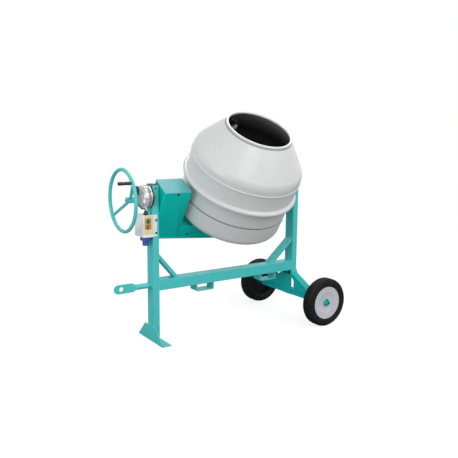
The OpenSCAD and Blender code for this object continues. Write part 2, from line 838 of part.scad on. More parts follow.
module push_button(z) {
    seat = button_travel + gap;
    translate([button_x, switch_y0, z]) along_front() {
        translate([0, 0, seat]) cylinder(h = button_out - 2, d = button_d);
        translate([0, 0, seat + button_out - 2.01]) cylinder(h = 2, d1 = button_d, d2 = button_d - 4);
        translate([0, 0, -switch_wall - 8]) cylinder(h = seat + switch_wall + 9, d = button_stem);
    }
}

module start_button() { color([0.1, 0.4, 0.2]) place() push_button(start_z); }
module stop_button() { color([0.8, 0.2, 0.1]) place() push_button(stop_z); }

module switch_screws() {
    color(black) place() for (z = ear_screws)
        translate([ear_l - 20, -column_y / 2 - ear_t, z]) along_front() {
        cylinder(h = 5, d = 2 * screw_d);
        translate([0, 0, -ear_t]) cylinder(h = ear_t + 1, d = screw_d);
    }
}

gland_d = 16;
gland_at = [switch_x0 + 40, switch_y0 + 40, switch_z + switch_h];
gland_h = 32;

// Tapered cable gland with its hexagon
module cable_gland() {
    color(black) place() translate(gland_at) difference() {
        union() {
            cylinder(h = 10, d = 38, $fn = 6);
            translate([0, 0, 9]) cylinder(h = gland_h - 9, d1 = 31, d2 = 21);
            translate([0, 0, -switch_wall - 6]) cylinder(h = switch_wall + 7, d = gland_d);
        }
        translate([0, 0, gland_h - 8]) cylinder(h = 9, d = cable_d);
    }
}

inlet_r = 24;
inlet_l = 68;
inlet_collar = 41;
inlet_collar_h = 27;
inlet_roof = 22;
inlet_at = [switch_x0 + switch_x / 2, switch_y0 + switch_y / 2 - 20, switch_z];

// Mains inlet: a wide collar, an open round shroud and its contact pins
module power_inlet() {
    color([0.1, 0.35, 0.75]) place() translate(inlet_at) {
        difference() {
            union() {
                translate([0, 0, -inlet_collar_h]) cylinder(h = inlet_collar_h, r = inlet_collar);
                translate([0, 0, -inlet_l]) cylinder(h = inlet_l, r = inlet_r);
                cylinder(h = switch_wall + 4, r = inlet_r - 5);
            }
            translate([0, 0, -inlet_l - 1]) cylinder(h = inlet_l - inlet_roof + 1, r = inlet_r - 4);
        }
        for (a = [0, 120, 240]) rotate(a) translate([11, 0, -inlet_l + 14])
            cylinder(h = inlet_l - inlet_roof - 8, r = 3);
    }
}

// The cable's route from the gland to the elbow, in the frame's own axes
cable_route = concat(
    [for (up = [-7, 3]) gland_at + [0, 0, gland_h + up]],
    [for (p = [
        [-53, -28, -89], [-63, -25, -86], [-75, -20, -83], [-83, -10, -72], [-89, -1, -62], [-92, 7, -49],
        [-93, 12, -36], [-92, 16, -22], [-89, 22, -10], [-87, 29, 0]
    ]) p + [0, 0, axis_z]],
    [for (up = [1, 7]) [boot_x, boot_at[0], axis_z + boot_low + up]]
);
cable_sides = 10;

// A point on a smooth curve through the route's points
function spline(p, i, t) = let(
        a = p[max(i - 1, 0)], b = p[i], c = p[i + 1], d = p[min(i + 2, len(p) - 1)]
    ) 0.5 * (2 * b + (c - a) * t + (2 * a - 5 * b + 4 * c - d) * t * t + (3 * b - a - 3 * c + d) * t * t * t);
function smooth(p, n) =
    concat([for (i = [0 : len(p) - 2], k = [0 : n - 1]) spline(p, i, k / n)], [p[len(p) - 1]]);
function unit(v) = v / norm(v);
function heading(p, i) = unit(p[min(i + 1, len(p) - 1)] - p[max(i - 1, 0)]);

// Tube of constant radius along a list of points
module sweep(p, r, sides) {
    n = len(p);
    points = [for (i = [0 : n - 1]) let(
            t = heading(p, i), u = unit(cross(t, [0.2, 1, 0.1])), v = cross(t, u)
        ) each [for (k = [0 : sides - 1]) p[i] + r * (cos(360 * k / sides) * u + sin(360 * k / sides) * v)]];
    side_faces = [for (i = [0 : n - 2], k = [0 : sides - 1]) let(m = (k + 1) % sides)
        each [[i * sides + k, i * sides + m, (i + 1) * sides + m],
              [i * sides + k, (i + 1) * sides + m, (i + 1) * sides + k]]];
    first = [for (k = [sides - 1 : -1 : 0]) k];
    last = [for (k = [0 : sides - 1]) (n - 1) * sides + k];
    polyhedron(points, concat(side_faces, [first], [last]), convexity = 4);
}

module motor_cable() {
    color(black) place() sweep(smooth(cable_route, 3), cable_d / 2 - gap, cable_sides);
}

// Yoke, in its own tilted frame

arm_w = yoke_w - 2 * yoke_t;
arm_lip = 40;
arm_top = 62;
web_v = -250;

// Channel that hangs from a trunnion to a depth, drawn for the tow side
module arm(drop) {
    translate([0, yoke_u, 0]) difference() {
        union() {
            translate([0, -arm_w / 2, -drop]) cube([yoke_t, arm_w, drop + arm_top]);
            for (y = [-arm_w / 2, arm_w / 2 - yoke_t])
                translate([0, y, -drop]) cube([arm_lip, yoke_t, drop + arm_top]);
        }
        translate([-1, -yoke_u, 0]) along_x() cylinder(h = yoke_t + 2, d = trunnion_d + 2 * run);
    }
}

module yoke_left_arm() {
    color(teal) place() tilted() translate([yoke_x0, 0, 0]) arm(yoke_end_v - 10);
}

module yoke_right_arm() {
    color(teal) place() tilted() translate([yoke_x1, 0, 0]) mirror([1, 0, 0]) arm(yoke_far_v - 10);
}

belly_half = 110;

// Depth of the yoke's lower edge between its tow end and its belly
function lower_edge(x) =
    yoke_end_v + (yoke_mid_v - yoke_end_v) * (x - yoke_x0) / (drum_x - belly_half - yoke_x0);

// Deep-bellied plates on both sides of the belt
module yoke_sides() {
    color(teal) place() tilted() for (s = [-1, 1])
        translate([0, yoke_u + s * (yoke_w - yoke_t) / 2, 0]) across(yoke_t) difference() {
            polygon([[yoke_x0, -yoke_top_v], [yoke_x1, -yoke_top_v], [yoke_x1, -yoke_far_v],
                     [drum_x + belly_half, -yoke_mid_v], [drum_x - belly_half, -yoke_mid_v],
                     [yoke_x0, -yoke_end_v]]);
            translate([belly_screw_x, belly_screw_v]) circle(d = screw_d + 0.2);
        }
}

module yoke_web() {
    color(teal) place() tilted() difference() {
        translate([yoke_x0 + yoke_t, yoke_u - arm_w / 2 + yoke_t, web_v])
            cube([yoke_x1 - yoke_x0 - 2 * yoke_t, arm_w - 2 * yoke_t, yoke_t]);
        translate([drum_x, yoke_u, web_v - 1]) cylinder(h = yoke_t + 2, r = bearing_r + gap);
        translate([motor_x, yoke_u, web_v - 1]) cylinder(h = yoke_t + 2, r = 34);
    }
}

belly_v = -yoke_mid_v + 30;

// Plate inside the belly that carries the lower bearing
module belly_plate() {
    color(teal) place() tilted() difference() {
        translate([drum_x - belly_half + 4, yoke_u - arm_w / 2, belly_v])
            cube([2 * belly_half - 8, arm_w, yoke_t]);
        translate([drum_x, yoke_u, belly_v - 1]) cylinder(h = yoke_t + 2, d = shaft_d + 10);
    }
}

collar_r = trunnion_d / 2 + 10;

// Hollow trunnions, each with a collar between its arm and its bush
module trunnions() {
    left_collar = yoke_x0 - column_x - bush_flange - gap;
    right_collar = far_x - bush_flange - gap - yoke_x1;
    color(zinc) place() tilted() {
        difference() {
            union() {
                translate([ring_x - 4, 0, 0]) along_x()
                    cylinder(h = yoke_x0 + yoke_t - ring_x + 4, d = trunnion_d);
                translate([yoke_x0 - left_collar, 0, 0]) along_x() cylinder(h = left_collar, r = collar_r);
            }
            translate([ring_x - 5, 0, 0]) along_x()
                cylinder(h = yoke_x0 + yoke_t - ring_x + 7, d = trunnion_bore);
        }
        translate([yoke_x1 - yoke_t, 0, 0]) along_x()
            cylinder(h = far_x + column_x + 16 - yoke_x1 + yoke_t, d = trunnion_d);
        translate([yoke_x1, 0, 0]) along_x() cylinder(h = right_collar, r = collar_r);
        translate([far_x + column_x + gap, 0, 0]) along_x() cylinder(h = 8, r = trunnion_d / 2 + 7);
    }
}

cover_x0 = column_x + 6;
cover_inner = 1;
cover_mid = cover_x0 + cover_l / 2;
screw_head = 13;
cover_screw_x = cover_x0 + cover_l / 2;
cover_screw_v = cover_v - 17;
belly_screw_back = 400;
belly_screw_x = drum_x - belly_screw_back;
belly_screw_v = -yoke_end_v - 2;

// Folded sheet cover over the motor and the end of the yoke, open below and cut along the yoke's lower edge
module transmission_cover() {
    cover_x1 = cover_x0 + cover_l;
    low = yoke_mid_v;
    color(teal_dark) place() tilted() difference() {
        intersection() {
            translate([cover_mid, yoke_u, -low]) linear_extrude(low + cover_v)
                round_rect(cover_l, cover_w, cover_round);
            across(4 * cover_w) polygon([
                [cover_x0 - 1, cover_v + 1], [cover_x1 + 1, cover_v + 1],
                [cover_x1 + 1, -lower_edge(cover_x1 + 1)], [cover_x0 - 1, -lower_edge(cover_x0 - 1)]]);
        }
        translate([cover_mid, yoke_u, -low - 1]) linear_extrude(low + 1 + cover_v - cover_t)
            round_rect(cover_l - 2 * cover_t, cover_w - 2 * cover_t, cover_inner);
        translate([cover_x1 - cover_round, yoke_u - yoke_w / 2 - gap, -low - 1])
            cube([cover_round + 1, yoke_w + 2 * gap, low + 1 + gap - yoke_top_v]);
        translate([cover_x0 - 1, 0, 0]) along_x() cylinder(h = cover_t + 2, r = collar_r + 3);
        for (s = [-1, 1]) translate([cover_screw_x, yoke_u + s * cover_w / 2, cover_screw_v])
            along_front() cylinder(h = 3 * cover_t, d = screw_d + 0.2, center = true);
    }
}

// Button-headed screw in a wall at a distance from the yoke's middle
module cover_screw(x, half, s, v, stem) {
    translate([x, yoke_u + s * half, v]) rotate([-90 * s, 0, 0]) {
        cylinder(h = 4, d = screw_head);
        translate([0, 0, -stem]) cylinder(h = stem + 1, d = screw_d);
    }
}

module cover_screws() {
    color(black) place() tilted() for (s = [-1, 1]) {
        cover_screw(cover_screw_x, cover_w / 2, s, cover_screw_v, cover_t + 3);
        cover_screw(belly_screw_x, yoke_w / 2, s, belly_screw_v, yoke_t);
    }
}

motor_x = cover_x0 + cover_l * 0.6;
drive_hub = 24;
belt_v = web_v - 24;

// Gear motor standing on the web, with its gear case, finned body and fan cowl
module gear_motor() {
    case_h = 96;
    body_h = 160;
    top = web_v + yoke_t;
    color([0.5, 0.52, 0.55]) place() tilted() translate([motor_x, yoke_u, top]) difference() {
        union() {
            cylinder(h = 10, r = motor_d / 2 + 6);
            cylinder(h = case_h, r = motor_d / 2);
            translate([0, 0, case_h - 1]) cylinder(h = body_h, r = motor_d / 2 - 10);
            for (k = [0 : 23]) rotate(15 * k) translate([motor_d / 2 - 12, -1.5, case_h + 8])
                cube([10, 3, body_h - 50]);
            translate([0, 0, case_h + body_h - 36]) cylinder(h = 36, r = motor_d / 2 - 2);
        }
        translate([0, 0, -1]) cylinder(h = 46, d = drive_hub + 2 * run);
    }
}

// Pulley turned for a flat belt between two flanges, drawn about its belt's middle
module pulley(r, bore) {
    difference() {
        union() {
            translate([0, 0, -belt_w / 2 - 1]) cylinder(h = belt_w + 2, r = r);
            for (s = [-1, 1]) translate([0, 0, s * (belt_w / 2 + 2.5) - 1.5]) cylinder(h = 3, r = r + 4);
        }
        translate([0, 0, -belt_w]) cylinder(h = 2 * belt_w, d = bore);
    }
}

module drive_pulley() {
    up = web_v + yoke_t + 42 - belt_v;
    color([0.35, 0.36, 0.38]) place() tilted() translate([motor_x, yoke_u, belt_v]) {
        pulley(drive_r, drive_hub - 4);
        translate([0, 0, -belt_w / 2 - 4]) cylinder(h = up + belt_w / 2 + 4, d = drive_hub);
    }
}

module driven_pulley() {
    color([0.35, 0.36, 0.38]) place() on_drum() translate([0, 0, belt_v]) pulley(driven_r, shaft_d + 2 * run);
}

// Outline round both pulleys at a distance from their belt faces
module belt_line(out) {
    hull() {
        circle(drive_r + out, $fn = 48);
        translate([drum_x - motor_x, 0]) circle(driven_r + out, $fn = 96);
    }
}

module drive_belt() {
    color(black) place() tilted() translate([motor_x, yoke_u, belt_v - belt_w / 2 + gap])
        linear_extrude(belt_w - 2 * gap) difference() {
            belt_line(gap + belt_t);
            belt_line(gap);
        }
}

// Drum bearings, shaft and hub

bearing_r = 50;

module upper_bearing() {
    color(cast) place() on_drum() translate([0, 0, web_v + yoke_t]) difference() {
        union() {
            cylinder(h = 10, r = bearing_r + 16);
            translate([0, 0, -yoke_t - 2]) cylinder(h = yoke_t + 4, r = bearing_r);
        }
        translate([0, 0, -yoke_t - 3]) cylinder(h = yoke_t + 20, d = shaft_d + 2 * run);
    }
}

module lower_bearing() {
    color(cast) place() on_drum() translate([0, 0, belly_v + yoke_t]) difference() {
        union() {
            cylinder(h = 10, r = bearing_r + 16);
            cylinder(h = 36, r = bearing_r);
        }
        translate([0, 0, -1]) cylinder(h = 50, d = shaft_d + 2 * run);
    }
}

hub_plate = 10;
hub_plate_r = 92;

module drum_shaft() {
    low = belly_v - 4;
    color(zinc) place() on_drum() translate([0, 0, low]) cylinder(h = -bottom_v - low, d = shaft_d);
}

module drum_hub() {
    color(cast) place() on_drum() translate([0, 0, -bottom_v - hub_plate]) difference() {
        cylinder(h = hub_plate, r = hub_plate_r);
        translate([0, 0, -1]) cylinder(h = hub_plate + 2, d = shaft_d + 2 * run);
        for (k = [0 : 5]) rotate(60 * k) translate([hub_plate_r - 17, 0, -1])
            cylinder(h = hub_plate + 2, d = hub_bolt + 2 * gap);
    }
}

hub_bolt = 10;

// Bolts from inside the drum into the hub
module hub_bolts() {
    color(zinc) place() on_drum() for (k = [0 : 5]) rotate(60 * k)
        translate([hub_plate_r - 17, 0, drum_t - bottom_v]) rotate([180, 0, 0])
            hex_bolt(hub_bolt, drum_t + hub_plate - 1);
}

// Drum shells

function arc(c, r, a0, a1, n) = [for (i = [0 : n]) let(a = a0 + (a1 - a0) * i / n) c + r * [cos(a), sin(a)]];
function reversed(p) = [for (i = [len(p) - 1 : -1 : 0]) p[i]];

// Upper half from its joint to the mouth, set in from the outside by a distance
function upper_line(inset) = concat(
    [[band_r - inset, joint_v]],
    arc(shoulder_c, shoulder_r - inset, 0, shoulder_end, 10),
    [mouth_p - inset * cone_normal]);

flange_t = 5;
lip_h = 20;
bead = 5.5;
bead_up_v = shoulder_v - 24;

module drum_upper() {
    color(drum_paint) place() on_drum() rotate_extrude($fn = 128) {
        polygon(concat(upper_line(0), reversed(upper_line(drum_t))));
        translate([band_r - drum_t / 2, joint_v]) square([drum_flange_r - band_r + drum_t / 2, flange_t]);
        translate([band_r + 1, bead_up_v]) circle(bead, $fn = 24);
        translate(mouth_p - drum_t / 2 * cone_normal) circle(rim_roll, $fn = 32);
    }
}

lower_top_r = band_r - 6;
bead_v = -23;

bead_low = 2.5;

// Rounded bottom of the lower half, from its wall to its middle
function bottom_line(inset) = concat(
    arc([lower_r - bottom_round, bottom_round - bottom_v], bottom_round - inset, 0, -90, 10),
    [[0, inset - bottom_v]]);

// Outside of the lower half: flange, turned-down lip, wall with its raised bead, bottom
lower_outside = concat(
    [[drum_flange_r, joint_v], [drum_flange_r, joint_v - lip_h], [drum_flange_r - flange_t, joint_v - lip_h],
     [drum_flange_r - flange_t, joint_v - flange_t], [lower_wall(joint_v - flange_t), joint_v - flange_t]],
    [for (k = [2, 1, -1, -2]) let(v = bead_v + bead_low * k)
        [lower_wall(v) + (abs(k) == 1 ? bead_low : 0), v]],
    bottom_line(0));

module drum_lower() {
    color(drum_paint * 0.92) place() on_drum() difference() {
        rotate_extrude($fn = 128)
            polygon(concat(lower_outside, reversed(bottom_line(drum_t)), [[lower_top_r - drum_t, joint_v]]));
        for (k = [0 : 5]) rotate(60 * k) translate([hub_plate_r - 17, 0, -bottom_v - 1])
            cylinder(h = drum_t + 2, d = hub_bolt + 2 * gap);
    }
}

// Outside radius of the lower half's tapered wall at a height
function lower_wall(v) = let(v0 = bottom_round - bottom_v)
    lower_r + (lower_top_r - lower_r) * (v - v0) / (joint_v - v0);

// Outside radius of the upper half at a height
function upper_wall(v) = let(cone_v = shoulder_c[1] + shoulder_r * sin(shoulder_end))
    v < shoulder_v ? band_r
    : v < cone_v ? shoulder_c[0] + sqrt(shoulder_r * shoulder_r - (v - shoulder_v) * (v - shoulder_v))
    : mouth_r + (mouth_v - v) * tan(shoulder_end);

function wall(v) = v < joint_v ? lower_wall(v) : upper_wall(v);

// Mixing blade: a plate that climbs and turns along the wall, widest in its middle
blade_v0 = -120;
blade_v1 = 500;
blade_steps = 16;
blade_clear = 12;
blade_turn = 70;
foot_d = 20;
foot_reach = 24;
foot_reach_top = 30;
foot_back = 8;
lower_lean = atan2(lower_top_r - lower_r, joint_v - bottom_round + bottom_v);

function blade_station(s) = let(
        v = blade_v0 + (blade_v1 - blade_v0) * s,
        a = blade_sweep * (s - 0.5),
        lean = 28 * (0.5 - s),
        outer = wall(v) - drum_t - blade_clear,
        inner = outer - blade_depth * (0.45 + 0.55 * sin(180 * min(1, s * 1.15))),
        side = blade_t / 2 * [-sin(a), cos(a), 0],
        fall = tan(lean) * (outer - inner) * [-sin(a), cos(a), 0],
        o = outer * [cos(a), sin(a), 0] + [0, 0, v],
        i = inner * [cos(a), sin(a), 0] + [0, 0, v] + fall
    ) [o + side, i + side, i - side, o - side];

module blade() {
    stations = [for (i = [0 : blade_steps]) each blade_station(i / blade_steps)];
    side_faces = [for (i = [0 : blade_steps - 1], k = [0 : 3]) let(m = (k + 1) % 4)
        each [[i * 4 + k, (i + 1) * 4 + k, (i + 1) * 4 + m], [i * 4 + k, (i + 1) * 4 + m, i * 4 + m]]];
    last = blade_steps * 4;
    polyhedron(stations, concat(side_faces,
        [[0, 1, 2], [0, 2, 3], [last, last + 2, last + 1], [last, last + 3, last + 2]]), convexity = 6);
    // Feet that stand on the wall along the blade
    for (s = [0.16, 0.5, 0.84]) let(
        v = blade_v0 + (blade_v1 - blade_v0) * s,
        a = blade_sweep * (s - 0.5),
        reach = s > 0.7 ? foot_reach_top : foot_reach)
        rotate(a) translate([wall(v) - drum_t - gap - reach, 0, v])
            rotate([0, s > 0.7 ? 90 - shoulder_end : s < 0.3 ? 90 + lower_lean : 90, 0])
                cylinder(h = reach - (s > 0.7 ? foot_back : 0), d = foot_d, $fn = 24);
}

module mixing_blades() {
    color([0.55, 0.56, 0.57]) place() on_drum()
        for (k = [0 : blade_n - 1]) rotate(k * 360 / blade_n + blade_turn) blade();
}

left_column();
right_column();
column_caps();
main_beam();
left_brace();
right_brace();
foot();
tow_bar();
fork_straps();
axle_bracket();
axle_bolts();
axle_tube();
axle_struts();
axle_washers();
axle_pins();
trunnion_bushes();
gearbox_flange();
gearbox_body();
gearbox_cover();
gearbox_bolts();
cable_elbow();
motor_cable();
cable_gland();
switch_box();
switch_plate();
switch_screws();
power_inlet();
yoke_left_arm();
yoke_right_arm();
yoke_sides();
yoke_web();
belly_plate();
trunnions();
tilt_ring_gear();
transmission_cover();
cover_screws();
gear_motor();
drive_belt();
upper_bearing();
lower_bearing();
drum_lower();
drum_upper();
mixing_blades();
drum_hub();
hub_bolts();
drum_shaft();
driven_pulley();
drive_pulley();
handwheel_rim();
handwheel_spokes();
handwheel_shaft();
tilt_pinion();
grip_pin();
grip();
tyre_near();
rim_near();
tyre_far();
rim_far();
start_button();
stop_button();
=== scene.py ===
"""Looks of a tilting-drum concrete mixer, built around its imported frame."""

import json
import math

import bpy
from mathutils import Matrix, Vector

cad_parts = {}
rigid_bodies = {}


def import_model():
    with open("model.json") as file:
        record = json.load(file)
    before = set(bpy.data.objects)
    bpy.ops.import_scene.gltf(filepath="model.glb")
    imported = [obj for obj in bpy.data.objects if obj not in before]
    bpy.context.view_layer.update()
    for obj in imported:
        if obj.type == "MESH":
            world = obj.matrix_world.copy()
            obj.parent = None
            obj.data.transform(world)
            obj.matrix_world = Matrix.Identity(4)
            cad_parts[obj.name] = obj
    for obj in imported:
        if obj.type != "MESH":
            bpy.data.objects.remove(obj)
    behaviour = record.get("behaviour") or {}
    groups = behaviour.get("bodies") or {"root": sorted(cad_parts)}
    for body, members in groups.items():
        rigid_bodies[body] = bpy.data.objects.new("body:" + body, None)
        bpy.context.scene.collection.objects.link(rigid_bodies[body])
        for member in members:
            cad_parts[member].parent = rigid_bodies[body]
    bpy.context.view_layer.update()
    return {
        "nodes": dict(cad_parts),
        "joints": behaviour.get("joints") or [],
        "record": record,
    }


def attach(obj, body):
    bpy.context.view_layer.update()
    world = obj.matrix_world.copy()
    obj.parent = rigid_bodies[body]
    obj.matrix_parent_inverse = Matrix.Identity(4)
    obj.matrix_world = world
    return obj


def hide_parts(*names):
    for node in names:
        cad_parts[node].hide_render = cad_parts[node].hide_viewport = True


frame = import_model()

NODES = frame["nodes"]
JOINTS = {j["name"]: j for j in frame["joints"]}
TAU = 2 * math.pi

# The machine's own axes in millimetres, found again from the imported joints
MM, TILT_X = 1000, 700.0
TILT_POS = Vector(JOINTS["yoke_tilt"]["pos_m"])
DRUM_AXIS = Vector(JOINTS["drum_spin"]["axis"]).normalized()
AXIS_Z = TILT_POS.z * MM
MACHINE = TILT_POS * MM - Vector((TILT_X, 0.0, AXIS_Z))
TILT = math.atan2(-DRUM_AXIS.y, DRUM_AXIS.z)


def at(x, y, z):
    """A point of the machine's own axes, in millimetres, as metres in the row frame."""
    return (MACHINE + Vector((x, y, z))) / MM


def on_yoke(x, u, v):
    """A point of the tilted yoke: along the beam, across it and along the drum."""
    c, s = math.cos(TILT), math.sin(TILT)
    return at(x, u * c - v * s, AXIS_Z + u * s + v * c)


# Materials

# Sockets of a Mix node that blends colours
FACTOR, COLOUR_A, COLOUR_B, COLOUR_OUT = 0, 6, 7, 2
# The range that most of a noise lies in
NOISE_LOW, NOISE_HIGH = 0.3, 0.7
# Cosines between a softened and a true normal, on flat ground and on an edge
FLAT, SHARP = 0.99, 0.88
# Upward share of a normal, where the painted sheen on top faces begins and where it is full
STEEP, LEVEL = 0.6, 0.8
# How far the noise of spun steel is drawn out into rings
RING_STRETCH = 80.0


class Look:
    """A node material on object coordinates."""

    def __init__(self, name, rough, metallic=0.0, **sockets):
        self.mat = bpy.data.materials.new(name)
        self.mat.use_nodes = True
        self.tree = self.mat.node_tree
        self.bsdf = next(n for n in self.tree.nodes if n.type == "BSDF_PRINCIPLED")
        self.bsdf.inputs["Metallic"].default_value = metallic
        self.bsdf.inputs["Roughness"].default_value = rough
        for key, value in sockets.items():
            self.bsdf.inputs[key.replace("_", " ")].default_value = value
        self.coord = self.node("ShaderNodeTexCoord").outputs["Object"]

    def node(self, kind, **values):
        made = self.tree.nodes.new(kind)
        for key, value in values.items():
            setattr(made, key, value)
        return made

    def link(self, a, b):
        self.tree.links.new(a, b)

    def put(self, socket, value):
        if isinstance(value, bpy.types.NodeSocket):
            self.link(value, socket)
        elif hasattr(value, "__len__"):
            socket.default_value = (*value[:3], 1.0) if len(socket.default_value) == 4 else value
        else:
            socket.default_value = value

    def noise(self, scale, detail=2.0, vector=None):
        made = self.node("ShaderNodeTexNoise")
        made.inputs["Scale"].default_value = scale
        made.inputs["Detail"].default_value = detail
        self.link(self.coord if vector is None else vector, made.inputs["Vector"])
        return made.outputs["Fac"]

    def rings(self, scale):
        """Fine rings square to the drum's axis at rest."""
        place = self.node("ShaderNodeMapping", vector_type="TEXTURE")
        place.inputs["Rotation"].default_value = (TILT, 0.0, 0.0)
        place.inputs["Scale"].default_value = (RING_STRETCH, RING_STRETCH, 1.0)
        self.link(self.coord, place.inputs["Vector"])
        return self.noise(scale, 3.0, place.outputs["Vector"])

    def span(self, value, low, high, to_low=0.0, to_high=1.0):
        made = self.node("ShaderNodeMapRange")
        keys = ("Value", "From Min", "From Max", "To Min", "To Max")
        for key, v in zip(keys, (value, low, high, to_low, to_high)):
            self.put(made.inputs[key], v)
        return made.outputs["Result"]

    def mottle(self, scale, detail, to_low=0.0, to_high=1.0):
        """Soft noise over the whole of a range."""
        return self.span(self.noise(scale, detail), NOISE_LOW, NOISE_HIGH, to_low, to_high)

    def maths(self, operation, a, b):
        made = self.node("ShaderNodeMath", operation=operation)
        self.put(made.inputs[0], a)
        self.put(made.inputs[1], b)
        return made.outputs[0]

    def blend(self, factor, a, b):
        made = self.node("ShaderNodeMix", data_type="RGBA")
        for i, v in ((FACTOR, factor), (COLOUR_A, a), (COLOUR_B, b)):
            self.put(made.inputs[i], v)
        return made.outputs[COLOUR_OUT]

    def edges(self, radius):
        """Near 1 along sharp edges and 0 on flat ground."""
        soft = self.node("ShaderNodeBevel", samples=4)
        soft.inputs["Radius"].default_value = radius
        hard = self.node("ShaderNodeNewGeometry")
        dot = self.node("ShaderNodeVectorMath", operation="DOT_PRODUCT")
        self.link(soft.outputs["Normal"], dot.inputs[0])
        self.link(hard.outputs["Normal"], dot.inputs[1])
        return self.span(dot.outputs["Value"], FLAT, SHARP)

    def facing_up(self):
        """1 where a surface faces up at rest."""
        split = self.node("ShaderNodeSeparateXYZ")
        self.link(self.node("ShaderNodeTexCoord").outputs["Normal"], split.inputs[0])
        return self.span(split.outputs["Z"], STEEP, LEVEL)

    def along(self, axis):
        """Distance along an axis through the origin, as the piece stands at rest."""
        made = self.node("ShaderNodeVectorMath", operation="DOT_PRODUCT")
        self.link(self.coord, made.inputs[0])
        made.inputs[1].default_value = axis
        return made.outputs["Value"]

    def colour(self, value):
        self.put(self.bsdf.inputs["Base Color"], value)

    def roughness(self, value):
        self.put(self.bsdf.inputs["Roughness"], value)

    def bump(self, height, strength, distance, under=None):
        made = self.node("ShaderNodeBump")
        made.inputs["Strength"].default_value = strength
        made.inputs["Distance"].default_value = distance
        self.put(made.inputs["Height"], height)
        if under:
            self.link(under, made.inputs["Normal"])
        self.link(made.outputs["Normal"], self.bsdf.inputs["Normal"])
        return made.outputs["Normal"]


def scaled(colour, k):
    return tuple(min(1.0, c * k) for c in colour)


PEEL_SCALE, PEEL_DEPTH = 460, 0.0012


def paint(name, colour, rough, worn=None, shade=0.05, painted_sheen=None, **sockets):
    """Sprayed paint: broad tone, faint mottling, orange peel, worn edges and, where given, a pale film on top
    faces that paints sheen.
    """
    k = Look(name, rough, **sockets)
    tone = k.blend(k.mottle(2.3, 3), scaled(colour, 1 - shade), scaled(colour, 1 + shade))
    tone = k.blend(k.span(k.noise(31, 4), 0.5, 0.8, 0.0, 0.5), tone, scaled(colour, 1 - 2 * shade))
    if worn:
        chips = k.maths("MULTIPLY", k.edges(0.004), k.span(k.noise(55, 4), 0.42, 0.62, 0.0, 0.75))
        tone = k.blend(chips, tone, worn)
    # A pale film on faces that look up is painted sheen, not dust
    if painted_sheen:
        dust_and_sheen = k.maths("MULTIPLY", k.facing_up(), k.mottle(19, 4, 0.42, 0.56))
        tone = k.blend(dust_and_sheen, tone, painted_sheen)
    k.colour(tone)
    k.roughness(k.mottle(11, 3, rough - 0.05, rough + 0.07))
    under = k.bump(k.noise(9), 0.05, 0.004)
    k.bump(k.noise(PEEL_SCALE), 0.05, PEEL_DEPTH, under)
    return k.mat


def drum_paint(name, colour, rough):
    """Glossy paint over spun steel: broad tone, faint rings left by the spinning, orange peel."""
    k = Look(name, rough, Coat_Weight=0.25, Coat_Roughness=0.16)
    tone = k.blend(k.mottle(2.3, 3), scaled(colour, 0.975), scaled(colour, 1.02))
    ring = k.rings(150)
    tone = k.blend(k.span(ring, 0.35, 0.65, 0.0, 0.4), tone, scaled(colour, 0.95))
    specks = k.span(k.noise(95, 5), 0.68, 0.74, 0.0, 0.35)
    k.colour(k.blend(specks, tone, scaled(colour, 0.8)))
    k.roughness(k.mottle(11, 3, rough - 0.05, rough + 0.07))
    under = k.bump(ring, 0.10, 0.0012)
    k.bump(k.noise(PEEL_SCALE), 0.04, PEEL_DEPTH, under)
    return k.mat


def metal(name, colour, rough, grain, depth, metallic=1.0, dark=0.7):
    """Bare metal: grain of one scale in tone, roughness and relief."""
    k = Look(name, rough, metallic)
    fine = k.noise(grain, 4)
    tone = k.blend(k.mottle(14, 3), scaled(colour, dark), colour)
    k.colour(k.blend(k.span(fine, 0.3, 0.75, 0.0, 0.6), tone, scaled(colour, 1.15)))
    k.roughness(k.span(fine, 0.25, 0.75, rough - 0.1, rough + 0.12))
    k.bump(fine, 0.35, depth)
    return k.mat


def moulded(name, colour, rough, grain=900, depth=0.0003, shade=0.08):
    """Moulded plastic with fine spark-eroded grain and rubbed edges."""
    k = Look(name, rough)
    tone = k.blend(k.mottle(18, 3), scaled(colour, 1 - shade), scaled(colour, 1 + shade))
    rubbed = k.maths("MULTIPLY", k.edges(0.002), k.span(k.noise(90, 3), 0.4, 0.65, 0.0, 0.3))
    k.colour(k.blend(rubbed, tone, scaled([c + 0.04 for c in colour], 1.15)))
    k.roughness(k.mottle(45, 3, rough - 0.06, rough + 0.08))
    k.bump(k.noise(grain), 0.3, depth)
    return k.mat


def rubber(name, colour, rough, dust_and_sheen=0.0):
    """Matt rubber with a dusty bloom that keeps to the hollows of its noise."""
    k = Look(name, rough, Specular_IOR_Level=0.2)
    tone = k.blend(k.span(k.noise(6, 4), 0.35, 0.7), colour, scaled(colour, 1.7))
    if dust_and_sheen:
        tone = k.blend(k.span(k.noise(38, 5), 0.5, 0.78, 0.0, dust_and_sheen), tone, (0.10, 0.095, 0.09))
    k.colour(tone)
    k.roughness(k.mottle(70, 3, rough - 0.08, rough + 0.1))
    k.bump(k.noise(1200), 0.3, 0.0004)
    return k.mat


def drum_inside(mouth, depth):
    """Dark primed steel with dried splashes, and painted light inside the mouth, strongest at the rim."""
    k = Look("drum_inside", 0.7, Specular_IOR_Level=0.05)
    tone = k.blend(k.mottle(7, 4), (0.035, 0.034, 0.033), (0.06, 0.059, 0.057))
    splash = k.span(k.noise(26, 6), 0.6, 0.72, 0.0, 0.5)
    tone = k.blend(splash, tone, (0.13, 0.13, 0.125))
    # Light grey paint near the rim, fading with depth: painted light that falls in at the mouth
    top = mouth.dot(DRUM_AXIS)
    mouth_light = k.maths("POWER", k.span(k.along(DRUM_AXIS), top - depth, top), 2.0)
    mouth_light = k.maths("MULTIPLY", mouth_light, k.mottle(16, 4, 0.85, 1.0))
    k.colour(k.blend(mouth_light, tone, (0.55, 0.56, 0.56)))
    k.roughness(k.mottle(40, 4, 0.6, 0.85))
    k.bump(k.noise(60, 5), 0.35, 0.0015)
    return k.mat


